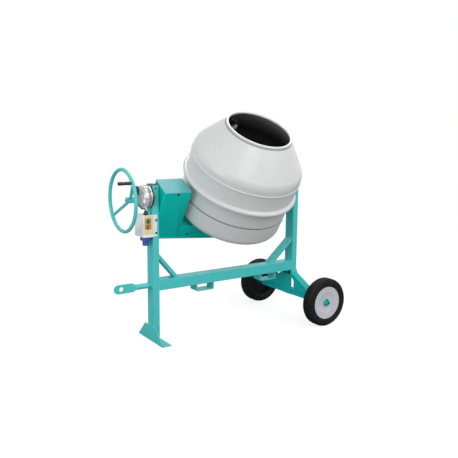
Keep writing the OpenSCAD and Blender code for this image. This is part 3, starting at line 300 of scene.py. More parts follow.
TEAL_COVER, TEAL_WORN = (0.0, 0.60, 0.53), (0.34, 0.66, 0.64)
LOOKS = {
    "paint_frame": paint("paint_frame", (0.075, 0.60, 0.60), 0.38, TEAL_WORN, Specular_IOR_Level=0.4),
    "paint_cover": paint("paint_cover", TEAL_COVER, 0.42, TEAL_WORN, Specular_IOR_Level=0.12),
    "paint_axle": paint("paint_axle", (0.004, 0.48, 0.47), 0.45, TEAL_WORN, Specular_IOR_Level=0.15),
    "paint_drum": drum_paint("paint_drum", (0.69, 0.70, 0.70), 0.38),
    "blade_steel": metal("blade_steel", (0.42, 0.42, 0.41), 0.5, 120, 0.001, 0.85),
    "wheel_paint": paint("wheel_paint", (0.60, 0.60, 0.65), 0.42, None, 0.03, Specular_IOR_Level=0.3),
    "tyre_rubber": rubber("tyre_rubber", (0.0065, 0.0066, 0.007), 0.7, 0.10),
    "zinc": metal("zinc", (0.62, 0.63, 0.64), 0.36, 240, 0.0004),
    "cast_alloy": metal("cast_alloy", (0.70, 0.70, 0.71), 0.36, 330, 0.0008, 0.4, dark=0.75),
    "cast_iron": metal("cast_iron", (0.24, 0.24, 0.25), 0.5, 300, 0.0008, 0.8),
    "bronze": metal("bronze", (0.55, 0.38, 0.18), 0.34, 260, 0.0004),
    "black_steel": paint("black_steel", (0.014, 0.015, 0.015), 0.42, (0.12, 0.12, 0.12), 0.15),
    "black_plastic": moulded("black_plastic", (0.016, 0.016, 0.017), 0.48),
    "cable_rubber": rubber("cable_rubber", (0.013, 0.013, 0.014), 0.5),
    "box_plastic": moulded("box_plastic", (0.88, 0.90, 0.88), 0.42, shade=0.02),
    "plate_yellow": moulded("plate_yellow", (0.78, 0.71, 0.46), 0.4, shade=0.05),
    "button_green": moulded("button_green", (0.03, 0.17, 0.07), 0.3, 1400, 0.0002),
    "button_red": moulded("button_red", (0.58, 0.10, 0.02), 0.3, 1400, 0.0002),
    "inlet_blue": moulded("inlet_blue", (0.03, 0.09, 0.40), 0.4),
}
RIM_BACK = paint("rim_back", (0.010, 0.010, 0.011), 0.5, None, 0.2, Specular_IOR_Level=0.3)
# Near-black paint between the gearbox fins: painted shade
FIN_SHADE = paint("painted_fin_shade", (0.085, 0.083, 0.08), 0.6, None, 0.15)
# Dark grey in the lower drum's groove and under the mouth's rolled rim: painted shade
GROOVE_SHADE = paint("bead_groove_shade", (0.27, 0.265, 0.255), 0.6, None, 0.1)
CREASE_SHADE = paint("rim_crease_shade", (0.34, 0.34, 0.335), 0.5, None, 0.1)
# The cover's own paint with a pale blue-grey film on its top faces, which is painted sheen
COVER_TOP = paint("paint_cover_top", TEAL_COVER, 0.42, TEAL_WORN, painted_sheen=(0.21, 0.29, 0.38),
                  Specular_IOR_Level=0.12)
GALVANISED = metal("galvanised", (0.62, 0.62, 0.61), 0.45, 200, 0.0006, 0.0, dark=0.8)
PANEL = moulded("plate_panel", (0.55, 0.36, 0.11), 0.4, shade=0.12)
MARK_WHITE = moulded("mark_white", (0.75, 0.75, 0.72), 0.4)


# Carried-over nodes: real slot finishes and broken edges

SLOT_OF = {s["node"]: s["material_slot"] for s in frame["record"]["subparts"]}
for name, obj in NODES.items():
    obj.data.materials.clear()
    obj.data.materials.append(LOOKS[SLOT_OF[name]])
NODES["transmission_cover"].data.materials[0] = COVER_TOP

WELD_GAP, EDGE_ANGLE = 1e-5, math.radians(40)


def soften(names, width, segments=2):
    """Broken edges on plate and tube work."""
    for name in names:
        obj = NODES[name]
        weld = obj.modifiers.new("join", "WELD")
        weld.merge_threshold = WELD_GAP
        edge = obj.modifiers.new("edge", "BEVEL")
        edge.width = width / MM
        edge.segments = segments
        edge.limit_method = "ANGLE"
        edge.angle_limit = EDGE_ANGLE
        edge.use_clamp_overlap = True
        edge.harden_normals = True


soften(("left_column", "right_column", "main_beam"), 3.0, 3)
soften(("left_brace", "right_brace", "fork_straps", "foot", "axle_bracket", "axle_struts", "axle_tube"), 1.5)
soften(("yoke_left_arm", "yoke_right_arm", "yoke_sides", "yoke_web", "belly_plate", "transmission_cover"), 1.2)
soften(("switch_box", "column_caps"), 2.0, 3)
soften(("switch_plate",), 0.6)


# Mesh pieces


def piece(name, body, slot, verts, faces, mats=None, ids=None, replaces=(), sharp=35):
    """A mesh object that rides on a body, with edges sharper than an angle kept crisp."""
    mesh = bpy.data.meshes.new(name)
    mesh.from_pydata([tuple(v) for v in verts], [], faces)
    for m in mats or [LOOKS[slot]]:
        mesh.materials.append(m)
    mesh.polygons.foreach_set("use_smooth", [True] * len(mesh.polygons))
    if ids:
        mesh.polygons.foreach_set("material_index", ids)
    mesh.update()
    mesh.set_sharp_from_angle(angle=math.radians(sharp))
    obj = bpy.data.objects.new(name, mesh)
    bpy.context.scene.collection.objects.link(obj)
    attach(obj, body)
    if replaces:
        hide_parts(*replaces)


class Build:
    """Vertices and faces gathered for one piece."""

    def __init__(self):
        self.verts, self.faces, self.ids = [], [], []

    def loops(self, rings, closed_rings=True, material=None):
        """Quads between closed rings of points; material maps a position along the ring to a slot."""
        n, base = len(rings[0]), len(self.verts)
        for ring in rings:
            self.verts.extend(ring)
        spans = len(rings) if closed_rings else len(rings) - 1
        for i in range(spans):
            a, b = base + i * n, base + (i + 1) % len(rings) * n
            for j in range(n):
                m = (j + 1) % n
                self.faces.append((a + j, b + j, b + m, a + m))
                self.ids.append(material(j) if material else 0)

    def cap(self, first, count, flip=False):
        order = list(range(first, first + count))
        self.faces.append(tuple(reversed(order)) if flip else tuple(order))
        self.ids.append(0)

    def run(self, rings):
        """Rings in a row, with a cap on both ends."""
        base, n = len(self.verts), len(rings[0])
        self.loops(rings, closed_rings=False)
        self.cap(base, n)
        self.cap(base + (len(rings) - 1) * n, n, True)

    def tube(self, path, radius, sides, closed=False):
        """Round tube along points; radius is a number or a function of the distance along it."""
        n = len(path)
        heads = []
        for i in range(n):
            a = path[(i - 1) % n] if closed or i else path[0]
            b = path[(i + 1) % n] if closed or i < n - 1 else path[-1]
            heads.append((b - a).normalized())
        side = heads[0].orthogonal().normalized()
        rings, length = [], 0.0
        for i in range(n):
            side = (side - heads[i] * side.dot(heads[i])).normalized()
            other = heads[i].cross(side)
            length += (path[i] - path[i - 1]).length if i else 0.0
            r = radius(length) if callable(radius) else radius
            rings.append([path[i] + r * (math.cos(TAU * k / sides) * side + math.sin(TAU * k / sides) * other)
                          for k in range(sides)])
        if closed:
            self.loops(rings)
        else:
            self.run(rings)


def turned(profile, steps, place, pick=None, build=None):
    """Closed outline of radius and height, turned about an axis that place() knows."""
    b = build or Build()
    rings = [[place(r, TAU * i / steps, v) for r, v in profile] for i in range(steps)]
    b.loops(rings, material=pick)
    return b


# Innermost radius of small turned pieces
CORE = 0.3


def arc(cx, cy, r, a0, a1, n):
    """Points of a circle's arc between two angles in degrees, in n steps."""
    return [(cx + r * math.cos(math.radians(a0 + (a1 - a0) * i / n)),
             cy + r * math.sin(math.radians(a0 + (a1 - a0) * i / n))) for i in range(n + 1)]


# Drum, in its own radius and height above the tilt axis

DRUM_X, YOKE_U = 761.0, -19.0
BAND_R, FLANGE_R, JOINT_V, FLANGE_T, LIP_H = 443.0, 469.0, 143.0, 5.0, 20.0
SHOULDER_V, SHOULDER_R, MOUTH_R, MOUTH_V, ROLL = 312.0, 113.0, 255.0, 593.0, 10.0
BOTTOM_V, LOWER_R, BOTTOM_ROUND, SHEET = 209.0, 435.0, 60.0, 4.0
LOWER_TOP_R = BAND_R - 6
BEAD_V, BEAD_UP_V = -23.0, SHOULDER_V - 24
BAND_BEAD_R, BAND_BEAD_TURN = 5.5, 78
# Height from the lower bead's middle and depth of the groove that is seen in its place
GROOVE_PROFILE = ((6, 0), (4, 3), (-4, 3), (-6, 0))
# Distances below the mouth along the cone, and depth along the axis of the painted light inside the mouth
CONE_POINT, CREASE_FROM, WALL_POINT, MOUTH_LIGHT_DEPTH = 70, 21, 60, 270
DRUM_STEPS, AXIS_R, FLOOR_R = 192, 0.5, 200
# Finishes of the shells, in the order of their materials; the dark finishes of the groove and the crease are
# painted shade
PAINTED, PRIMED, GROOVE_SHADED, CREASE_SHADED = range(4)
CENTRE_R = BAND_R - SHOULDER_R
TO_MOUTH = Vector((MOUTH_R - CENTRE_R, MOUTH_V - SHOULDER_V))
CONE = math.degrees(math.atan2(TO_MOUTH.y, TO_MOUTH.x) - math.acos(SHOULDER_R / TO_MOUTH.length))
CONE_N = Vector((math.cos(math.radians(CONE)), math.sin(math.radians(CONE))))


def on_drum(r, angle, v):
    return on_yoke(DRUM_X + r * math.cos(angle), YOKE_U + r * math.sin(angle), v)


INSIDE = drum_inside(on_drum(0.0, 0.0, MOUTH_V), MOUTH_LIGHT_DEPTH / MM)


def lower_wall(v):
    """Radius of the lower half's slightly flared wall."""
    v0 = BOTTOM_ROUND - BOTTOM_V
    return LOWER_R + (LOWER_TOP_R - LOWER_R) * (v - v0) / (JOINT_V - v0)


LIP_R, LIP_V = 18.0, JOINT_V - 13.0
LIP_JOINT = math.degrees(math.asin((JOINT_V - LIP_V) / LIP_R))


def along_cone(d):
    """A point of the cone's outside, a distance below the mouth."""
    return (MOUTH_R + d * CONE_N.y, MOUTH_V - d * CONE_N.x)


def shell(name, node, outside, inside, first, last, marks):
    """Revolved sheet, dark from the first to the last inside span; marks names other finishes."""
    mats = [LOOKS["paint_drum"], INSIDE, GROOVE_SHADE, CREASE_SHADE]
    b = turned(outside + inside, DRUM_STEPS, on_drum,
               lambda j: marks.get(j, PRIMED if first <= j <= last else PAINTED))
    piece(name, "drum", "paint_drum", b.verts, b.faces, mats, b.ids, (node,))


def upper_shell():
    """Rolled flange, band with its bead, shoulder, cone and the rolled rim of the mouth."""
    wall = Vector((MOUTH_R, MOUTH_V)) - SHEET / 2 * CONE_N
    outside = [(BAND_R - SHEET, JOINT_V)] + arc(FLANGE_R - LIP_R, LIP_V, LIP_R, LIP_JOINT, 90, 5)
    outside += arc(BAND_R + 4, JOINT_V + FLANGE_T + 4, 4, -90, -180, 4)
    outside += arc(BAND_R + 1, BEAD_UP_V, BAND_BEAD_R, -BAND_BEAD_TURN, BAND_BEAD_TURN, 10)
    outside += arc(CENTRE_R, SHOULDER_V, SHOULDER_R, 0, CONE, 16)
    outside += [along_cone(CONE_POINT), along_cone(CREASE_FROM)]
    # The span from here to the rolled rim is darkened with painted shade
    crease = len(outside) - 1
    outside += arc(wall.x, wall.y, ROLL, CONE - 78, CONE + 256, 20)
    inside = [(wall.x + WALL_POINT * CONE_N.y - SHEET / 2 * CONE_N.x,
               wall.y - WALL_POINT * CONE_N.x - SHEET / 2 * CONE_N.y)]
    inside += arc(CENTRE_R, SHOULDER_V, SHOULDER_R - SHEET, CONE, 0, 12)
    n = len(outside)
    shell("drum_upper_shell", "drum_upper", outside, inside, n - 2, n + len(inside) - 1, {crease: CREASE_SHADED})


def lower_shell():
    """Turned-down lip of the flange, wall with its groove line in painted shade, and the round bottom."""
    top = JOINT_V - FLANGE_T
    outside = arc(FLANGE_R - LIP_R, LIP_V, LIP_R, LIP_JOINT, 0, 5)
    outside += [(FLANGE_R, JOINT_V - 17), (FLANGE_R - 1.2, JOINT_V - 19.4), (FLANGE_R - 3, JOINT_V - LIP_H),
                (FLANGE_R - 5, JOINT_V - LIP_H + 0.8), (FLANGE_R - 6, JOINT_V - 16), (FLANGE_R - 20, top),
                (lower_wall(top), top)]
    # The groove's faces are darkened with painted shade
    groove = len(outside)
    outside += [(lower_wall(BEAD_V + d) - h, BEAD_V + d) for d, h in GROOVE_PROFILE]
    outside += arc(LOWER_R - BOTTOM_ROUND, BOTTOM_ROUND - BOTTOM_V, BOTTOM_ROUND, 0, -90, 14)
    outside += [(FLOOR_R, -BOTTOM_V), (AXIS_R, -BOTTOM_V)]
    inside = [(AXIS_R, SHEET - BOTTOM_V), (FLOOR_R, SHEET - BOTTOM_V)]
    inside += arc(LOWER_R - BOTTOM_ROUND, BOTTOM_ROUND - BOTTOM_V, BOTTOM_ROUND - SHEET, -90, 0, 12)
    inside += [(LOWER_TOP_R - SHEET, JOINT_V)]
    n = len(outside)
    shell("drum_lower_shell", "drum_lower", outside, inside, n - 1, n + len(inside) - 2,
          {groove + i: GROOVE_SHADED for i in range(len(GROOVE_PROFILE) - 1)})


SCREW_DEGREES, SCREW_V = -171.2, 442.7
LUG_IN, LUG_OUT, LUG_LOW, LUG_HIGH = 319.5, 327.0, 404, 441
LUG_START, LUG_STEPS, BLADES = 82.0, 8, 2


def drum_screw():
    """One round-headed screw on the cone."""
    angle, v = math.radians(SCREW_DEGREES), SCREW_V
    foot = Vector(along_cone((MOUTH_V - v) / CONE_N.x))
    across = Vector((-math.sin(angle), math.cos(angle)))

    def place(r, turn, out):
        p = foot + out * CONE_N + r * math.sin(turn) * Vector((-CONE_N.y, CONE_N.x))
        x = p.x * math.cos(angle) + r * math.cos(turn) * across.x
        u = p.x * math.sin(angle) + r * math.cos(turn) * across.y
        return on_yoke(DRUM_X + x, YOKE_U + u, p.y)

    b = turned([(CORE, -1.0), (7.5, -1.0)] + arc(0, -2.2, 7.8, 20, 88, 8), 32, place)
    piece("drum_screw", "drum", "zinc", b.verts, b.faces)


def blade_lugs():
    """Bright fixing lug on the upper end of each blade."""
    b = Build()
    for k in range(BLADES):
        rings = []
        for i in range(LUG_STEPS + 1):
            angle = math.radians(LUG_START + i + 180 * k)
            edge = 3.0 if i in (0, LUG_STEPS) else 1.0
            corners = ((LUG_IN, LUG_LOW + edge), (LUG_OUT, LUG_LOW), (LUG_OUT, LUG_HIGH),
                       (LUG_IN, LUG_HIGH - edge))
            rings.append([on_drum(r, angle, v) for r, v in corners])
        b.run(rings)
    piece("blade_lugs", "drum", "zinc", b.verts, b.faces, [GALVANISED])


drum_screw()
blade_lugs()
upper_shell()
lower_shell()


# Wheels

WHEEL_R, BEAD_R = 200.0, 135.0
AXLE_X, TRACK, SPINDLE_END = 1378.0, 878.0, 497.0
# Repeats of the tread round the wheel, and the half width of its zigzag middle
PITCHES, CROWN_HALF, ZIGZAG = 54, 20, 1.6
# Depth and skew of the shoulder slots, and the turn of the plain walls
SLOT_DEPTH, SLOT_SKEW, WALL_TURN = 5.5, 0.004, 0.1
# Half width and radius from the middle of the tread to the bead, and 1 where the slots cut in
HALF_TYRE = [
    (0.0, 195.0, 0), (2.2, 195.0, 0), (3.0, 200.0, 0), (12.0, 200.0, 0), (12.8, 195.0, 0), (17.2, 195.0, 0),
    (18.0, 200.0, 0), (24.0, 199.8, 0), (30.0, 199.2, 1), (36.0, 197.0, 1), (41.0, 193.0, 1), (44.5, 188.0, 1),
    (46.6, 183.0, 1), (47.6, 178.5, 0), (48.2, 174.0, 0), (49.0, 172.6, 0), (49.0, 170.4, 0), (48.0, 169.0, 0),
    (48.0, 158.0, 0), (48.8, 156.8, 0), (48.8, 155.2, 0), (47.8, 154.0, 0), (46.6, 146.0, 0), (44.0, 141.0, 0),
    (41.0, 138.0, 0), (40.0, 135.0, 0)]
# Shares of one pitch, and 1 inside the slot
STATIONS = [(0.0, 0), (0.05, 1), (0.25, 1), (0.30, 0), (0.65, 0)]


def on_wheel(side):
    """Places radius, angle and outward width on a wheel; side is -1 near and 1 far."""
    def place(r, angle, w):
        return at(AXLE_X + r * math.cos(angle), side * (TRACK / 2 + w), WHEEL_R + side * r * math.sin(angle))
    return place


def tyre(name, side, body, node):
    """Tyre with shoulder lugs, zigzag grooves and ringed sidewalls."""
    line = [(r, -w, lug) for w, r, lug in reversed(HALF_TYRE)] + [(r, w, lug) for w, r, lug in HALF_TYRE[1:]]
    place = on_wheel(side)
    rings = []
    for p in range(PITCHES):
        for share, slotted in STATIONS:
            ring = []
            for r, w, lug in line:
                crown = abs(w) < CROWN_HALF
                turn = (p + share) / PITCHES * TAU + (SLOT_SKEW * abs(w) if lug or crown else WALL_TURN)
                zig = ZIGZAG * (1 - 4 * abs((p * 0.5 + share * 0.5) % 1 - 0.5)) if crown else 0.0
                ring.append(place(r - (SLOT_DEPTH if slotted and lug else 0.0), turn, w + zig))
            rings.append(ring)
    b = Build()
    b.loops(rings)
    piece(name, body, "tyre_rubber", b.verts, b.faces, replaces=(node,), sharp=28)


HUB_BORE, HUB_SEAT, HUB_R, HUB_HALF = 15.05, 26.0, 27.0, 37.0
FACE, BACK, HUB = range(3)


def wheel_disc(name, side, body, node, tag):
    """Pressed disc with a swaged ring on a long hub; its back is left dark."""
    rim_r, depth, sheet = BEAD_R - 0.3, 40.0, 4.0
    face = [(HUB_SEAT, 26.0), (40.0, 27.0), (58.0, 29.6), (64.0, 31.0), (84.0, 33.5), (88.0, 35.6),
            (93.0, 36.4), (98.0, 35.6), (102.0, 35.6), (112.0, 37.6), (116.0, 38.0), (rim_r - 6, 38.0),
            (rim_r - 2, 38.6), (rim_r, depth)]
    back = [(rim_r, -depth), (rim_r - sheet, -depth), (rim_r - sheet, 33.5), (112.0, 33.6), (93.0, 32.2),
            (84.0, 29.5), (60.0, 26.2), (HUB_SEAT, 22.0)]
    place = on_wheel(side)
    b = turned(face + back, 144, place, lambda j: FACE if j < len(face) - 1 else BACK)
    hub = [(HUB_BORE, HUB_HALF), (HUB_BORE, -HUB_HALF), (HUB_SEAT, -HUB_HALF), (HUB_R, 1 - HUB_HALF),
           (HUB_R, HUB_HALF - 1), (HUB_SEAT, HUB_HALF)]
    turned(hub, 72, place, lambda j: HUB if j >= 3 else BACK, b)
    mats = [LOOKS["wheel_paint"], RIM_BACK, LOOKS["paint_axle"]]
    piece(name, body, "wheel_paint", b.verts, b.faces, mats, b.ids, (node,))
    # A black disc on the spindle's end is painted shade, standing in for the dark of a bore
    end = SPINDLE_END - TRACK / 2
    b = turned([(CORE, end), (9.5, end), (9.5, end + 1.0), (8.5, end + 1.8), (CORE, end + 1.8)], 40, place)
    piece(f"spindle_{tag}_bore_shade", "frame", "black_plastic", b.verts, b.faces)


for tag, side in (("near", -1), ("far", 1)):
    tyre(f"tyre_{tag}_tread", side, f"wheel_{tag}", f"tyre_{tag}")
    wheel_disc(f"wheel_{tag}_disc", side, f"wheel_{tag}", f"rim_{tag}", tag)


# Motor lead from the gland to the boot, and the belt under the drum

LEAD_R = 4.2
LEAD = [(-48, -30, 1004), (-48, -30, 1014), (-53, -28, 1021), (-63, -25, 1024), (-75, -20, 1027),
        (-83, -10, 1038), (-89, -1, 1048), (-92, 7, 1061), (-93, 12, 1074), (-92, 16, 1088), (-89, 22, 1100),
        (-87, 29, 1110), (-87, 33, 1121), (-87, 33, 1127)]


def smooth(points, n):
    """A curve through every point, with n steps between neighbours."""
    out, last = [], len(points) - 1
    for i in range(last):
        a, b, c, d = points[max(i - 1, 0)], points[i], points[i + 1], points[min(i + 2, last)]
        for k in range(n):
            t = k / n
            out.append(0.5 * (2 * b + (c - a) * t + (2 * a - 5 * b + 4 * c - d) * t * t
                              + (3 * b - a - 3 * c + d) * t ** 3))
    return out + [points[last]]


lead = Build()
lead.tube(smooth([at(*p) for p in LEAD], 8), LEAD_R / MM, 20)
piece("motor_lead", "frame", "cable_rubber", lead.verts, lead.faces, replaces=("motor_cable",))

COVER_X, COVER_LENGTH = 56, 224
MOTOR_X, BELT_V, BELT_W = COVER_X + COVER_LENGTH * 0.6, -274.0, 17.4
DRIVE_R, DRIVEN_R, BELT_T = 22.3, 66.3, 6.0
RIBS, RIB_DEPTH, RIB_FLANK, RIB_GAP, BELT_EDGE = 5, 2.2, 0.9, 0.05, 0.6


def belt():
    """Flat-backed belt with ribs along its inner face."""
    half, rib = BELT_W / 2, BELT_W / RIBS
    section = [(BELT_T, BELT_EDGE - half), (BELT_T - BELT_EDGE, -half)]
    for i in range(RIBS):
        z0 = -half + BELT_W * i / RIBS
        section += [(RIB_DEPTH, z0 + RIB_GAP), (0.0, z0 + RIB_FLANK), (0.0, z0 + rib - RIB_FLANK)]
    section += [(RIB_DEPTH, half - RIB_GAP), (BELT_T - BELT_EDGE, half), (BELT_T, half - BELT_EDGE)]
    reach = DRUM_X - MOTOR_X
    switch = math.acos(-(DRIVEN_R - DRIVE_R) / reach)
    small, big = 24, 64
    stops = [(MOTOR_X, DRIVE_R, switch + (TAU - 2 * switch) * i / small) for i in range(small + 1)]
    stops += [(MOTOR_X + reach, DRIVEN_R, -switch + 2 * switch * i / big) for i in range(big + 1)]
    rings = []
    for x, r, angle in stops:
        c, d = math.cos(angle), math.sin(angle)
        rings.append([on_yoke(x + (r + t) * c, YOKE_U + (r + t) * d, BELT_V + z) for t, z in section])
    b = Build()
    b.loops(rings)
    piece("ribbed_belt", "yoke", "cable_rubber", b.verts, b.faces, replaces=("drive_belt",))


belt()


# Gearbox fins, and webs on its cover

GEARBOX_R, NOSE_X = 82.0, -74.0
FIN_X, FIN_FOOT, BAND_END, FIN_STEPS = (-44.0, -34.0, -24.0), 2.2, 7.8, 96
WEB_DEGREES, WEB_ENDS = (12, 92, 130, 168, 206, 244, 282), (33.0, 64.0)
WEB_SECTION = ((-2.4, -1.0), (-1.8, 2.4), (-1.0, 3.0), (1.0, 3.0), (1.8, 2.4), (2.4, -1.0))


def on_gearbox(r, angle, x):
    return at(x, r * math.cos(angle), AXIS_Z + r * math.sin(angle))


def gearbox_trim():
    """Fins with bands of painted shade between them, and a ring with webs on the nose of the cover."""
    b = Build()
    root, tip = GEARBOX_R - 1, GEARBOX_R + 5
    for x in FIN_X:
        fin = [(root, x + FIN_FOOT), (tip - 1, x + 2.0), (tip, x + 1.0), (tip, x - 1.0), (tip - 1, x - 2.0),
               (root, x - FIN_FOOT)]
        turned(fin, FIN_STEPS, on_gearbox, None, b)
        if x > FIN_X[0]:
            # A thin band of painted shade between two fins
            band = [(root, x - FIN_FOOT), (GEARBOX_R + 0.4, x - FIN_FOOT), (GEARBOX_R + 0.4, x - BAND_END),
                    (root, x - BAND_END)]
            turned(band, FIN_STEPS, on_gearbox, lambda j: 1, b)
    turned([(30.0, NOSE_X + 1), (30.0, NOSE_X - 2), (31.0, NOSE_X - 3), (33.0, NOSE_X - 3), (34.0, NOSE_X - 2),
            (34.0, NOSE_X + 1)], 64, on_gearbox, None, b)
    for degrees in WEB_DEGREES:
        c, d = math.cos(math.radians(degrees)), math.sin(math.radians(degrees))
        b.run([[at(NOSE_X - out, r * c - w * d, AXIS_Z + r * d + w * c) for w, out in WEB_SECTION]
               for r in WEB_ENDS])
    piece("gearbox_trim", "frame", "cast_alloy", b.verts, b.faces, [LOOKS["cast_alloy"], FIN_SHADE], b.ids)


gearbox_trim()


# Folded lip along the lower edges of the yoke, caps on its screws, and a screw on each column

YOKE_EDGE = [(60.0, -314.0), (651.0, -375.0), (871.0, -375.0), (1313.0, -272.0)]
YOKE_HALF, COVER_HALF = 85.2, 88.0
LIP_SECTION = [(-8, 0.4), (-8, -11), (-7, -12), (5.5, -12), (7, -10.5), (7, -1), (6, 0), (-0.2, 0), (-0.2, 0.4)]
# Place along the beam, height and half width of the yoke where a cap sits on both sides
CAPS = ((168.0, 86.0, COVER_HALF), (361.0, -316.0, YOKE_HALF))
CAP_OUTLINE = [(CORE, 0.2), (8.6, 0.2), (8.6, 2.4)] + arc(6.0, 3.0, 2.6, 0, 90, 4) + [(CORE, 5.8)]
COLUMN_XS, COLUMN_FRONT, COLUMN_SCREW_Z = (25.0, 1378.0), -50, 1174
WASHER = [(CORE, -0.5), (9.0, -0.5), (9.0, 1.0), (8.4, 1.4)]
HEAD = [(6.4, 1.4), (6.2, 4.6), (5.4, 5.4), (CORE, 5.4)]


def on_yoke_side(x, v, half, side):
    """Places radius, angle and reach on one side of the yoke."""
    def place(r, angle, out):
        return on_yoke(x + r * math.cos(angle), YOKE_U + side * (half + out), v + side * r * math.sin(angle))
    return place


def on_front(x, z, front):
    """Places radius, angle and reach on a face that looks to the front."""
    def place(r, angle, out):
        return at(x + r * math.cos(angle), front - out, z - r * math.sin(angle))
    return place


def yoke_lips():
    b = Build()
    for side in (-1, 1):
        b.run([[on_yoke(x, YOKE_U + side * (YOKE_HALF + o), v + d) for o, d in LIP_SECTION[::-side]]
               for x, v in YOKE_EDGE])
    piece("yoke_lips", "yoke", "paint_cover", b.verts, b.faces)


def cover_caps():
    """Black caps on the screws of the transmission cover and the yoke's sides."""
    b = Build()
    for x, v, half in CAPS:
        for side in (-1, 1):
            turned(CAP_OUTLINE, 36, on_yoke_side(x, v, half, side), None, b)
    piece("cover_caps", "yoke", "black_plastic", b.verts, b.faces)


def column_screws():
    """Dark-headed clamp screw of each trunnion bush, on a painted washer."""
    first, last = len(WASHER), len(WASHER) + len(HEAD) - 2
    b = Build()
    for x in COLUMN_XS:
        place = on_front(x, COLUMN_SCREW_Z, COLUMN_FRONT)
        turned(WASHER + HEAD, 48, place, lambda j: int(first <= j <= last), b)
    mats = [LOOKS["paint_frame"], LOOKS["black_steel"]]
    piece("column_screws", "frame", "paint_frame", b.verts, b.faces, mats, b.ids)


yoke_lips()
cover_caps()
column_screws()


# Weld beads

STEP, RIPPLE, RIPPLE_DEPTH = 1.6, 5.0, 0.14


def bead_path(points, closed=False):
    """Even steps along straight runs between points."""
    out = []
    ends = points + [points[0]] if closed else points
    for a, b in zip(ends, ends[1:]):
        n = max(1, round((b - a).length * MM / STEP))
        out += [a.lerp(b, k / n) for k in range(n)]
    return out if closed else out + [ends[-1]]


def welds(name, body, slot, seams):
    """Rippled beads; a seam is a list of points, a bead radius in mm and whether it closes."""
    b = Build()
    for points, r, closed in seams:
        def radius(run, r=r):
            return r / MM * (1 + RIPPLE_DEPTH * math.sin(TAU * run * MM / RIPPLE))
        b.tube(bead_path(points, closed), radius, 8, closed)
    piece(name, body, slot, b.verts, b.faces, sharp=80)


def box_seam(x, y, z0, z1):
    """Round the end of a square tube that meets a column."""
    return [at(x, -y, z0), at(x, y, z0), at(x, y, z1), at(x, -y, z1)]


def flat_seam(x0, x1, y, z):
    """Round a tube or column that stands on a flat top."""
    return [at(x0, -y, z), at(x0, y, z), at(x1, y, z), at(x1, -y, z)]


BEAM_Z, BEAM_TOP, BEAM_HALF = 396.0, 476.0, 49.5
NEAR_X, FAR_X, COLUMN_HALF = 50, 1353.0, 50
BRACE_RISE, BRACE_T, BRACE_HALF = 206, 25, 40
# Face of the column, direction along the beam and run of each brace
BRACES = ((NEAR_X, 1, 178), (FAR_X, -1, 236))
TOW_R, TOW_Z, TOW_STEPS = 21, 436, 40
FOOT_TOP, GUSSET_TOP = 8, 118
STRAP_XS, STRAP_HALF, STRAP_REACH = (460, 1092), 80, 48

seams = [(box_seam(x, BEAM_HALF, BEAM_Z + 0.5, BEAM_TOP - 0.5), 2.6, True) for x in (NEAR_X, FAR_X)]
for x, sign, run in BRACES:
    slope = math.atan2(BRACE_RISE, run)
    top = BEAM_TOP + BRACE_RISE
    seams.append((box_seam(x, BRACE_HALF, top - BRACE_T / math.cos(slope), top), 3.0, True))
    x0, x1 = x + sign * (run - BRACE_T / math.sin(slope)), x + sign * run
    seams.append((flat_seam(x0, x1, BRACE_HALF, BEAM_TOP), 3.0, True))
tow_turns = [TAU * i / TOW_STEPS for i in range(TOW_STEPS)]
seams.append(([at(0, TOW_R * math.cos(a), TOW_Z + TOW_R * math.sin(a)) for a in tow_turns], 3.0, True))
foot_corners = ((0, -COLUMN_HALF), (NEAR_X, -COLUMN_HALF), (NEAR_X, COLUMN_HALF), (0, COLUMN_HALF))
seams.append(([at(x, y, FOOT_TOP) for x, y in foot_corners], 3.2, True))
for y in (-COLUMN_HALF, COLUMN_HALF):
    seams.append(([at(0, y, FOOT_TOP), at(0, y, GUSSET_TOP)], 2.6, False))
for x in STRAP_XS:
    for dx in (-STRAP_HALF, STRAP_HALF):
        seams.append(([at(x + dx, -STRAP_REACH, BEAM_Z), at(x + dx, STRAP_REACH, BEAM_Z)], 3.0, False))
welds("frame_welds", "frame", "paint_frame", seams)

BRACKET_XS, TUBE_XS = (FAR_X - 8, FAR_X + 58), (FAR_X, FAR_X + 50)
BRACKET_Y, BRACKET_LOW, BRACKET_TOP = 52, 348, 372
TUBE_TOP, STRUT_FOOT, STRUT_END, MIDDLE = 225, 88, 335, 51

seams = []
for side in (-1, 1):
    for x in BRACKET_XS:
        seams.append(([at(x, side * BRACKET_Y, z) for z in (BRACKET_LOW, BRACKET_TOP)], 2.4, False))
    for y, z in ((BRACKET_Y, BRACKET_TOP), (STRUT_END, TUBE_TOP)):
        seams.append(([at(x, side * y, z) for x in BRACKET_XS], 2.8, False))
    for x in TUBE_XS:
        seams.append(([at(x, side * y, TUBE_TOP) for y in (STRUT_FOOT, STRUT_END - 1)], 2.4, False))
seams.append(([at(FAR_X, -MIDDLE, TUBE_TOP), at(FAR_X, MIDDLE, TUBE_TOP)], 2.4, False))
welds("axle_welds", "frame", "paint_axle", seams)

COLLAR_STEPS = 48
# Place along the beam and radius of the seams round both trunnions
COLLARS = ((60, 40), (1313, 40), (68, 30), (1305, 30))


def collar_seam(x, r):
    turns = [TAU * i / COLLAR_STEPS for i in range(COLLAR_STEPS)]
    return [on_yoke(x, r * math.cos(a), r * math.sin(a)) for a in turns]


welds("yoke_welds", "yoke", "paint_cover", [(collar_seam(x, r), 2.6, True) for x, r in COLLARS])


# Switch box details

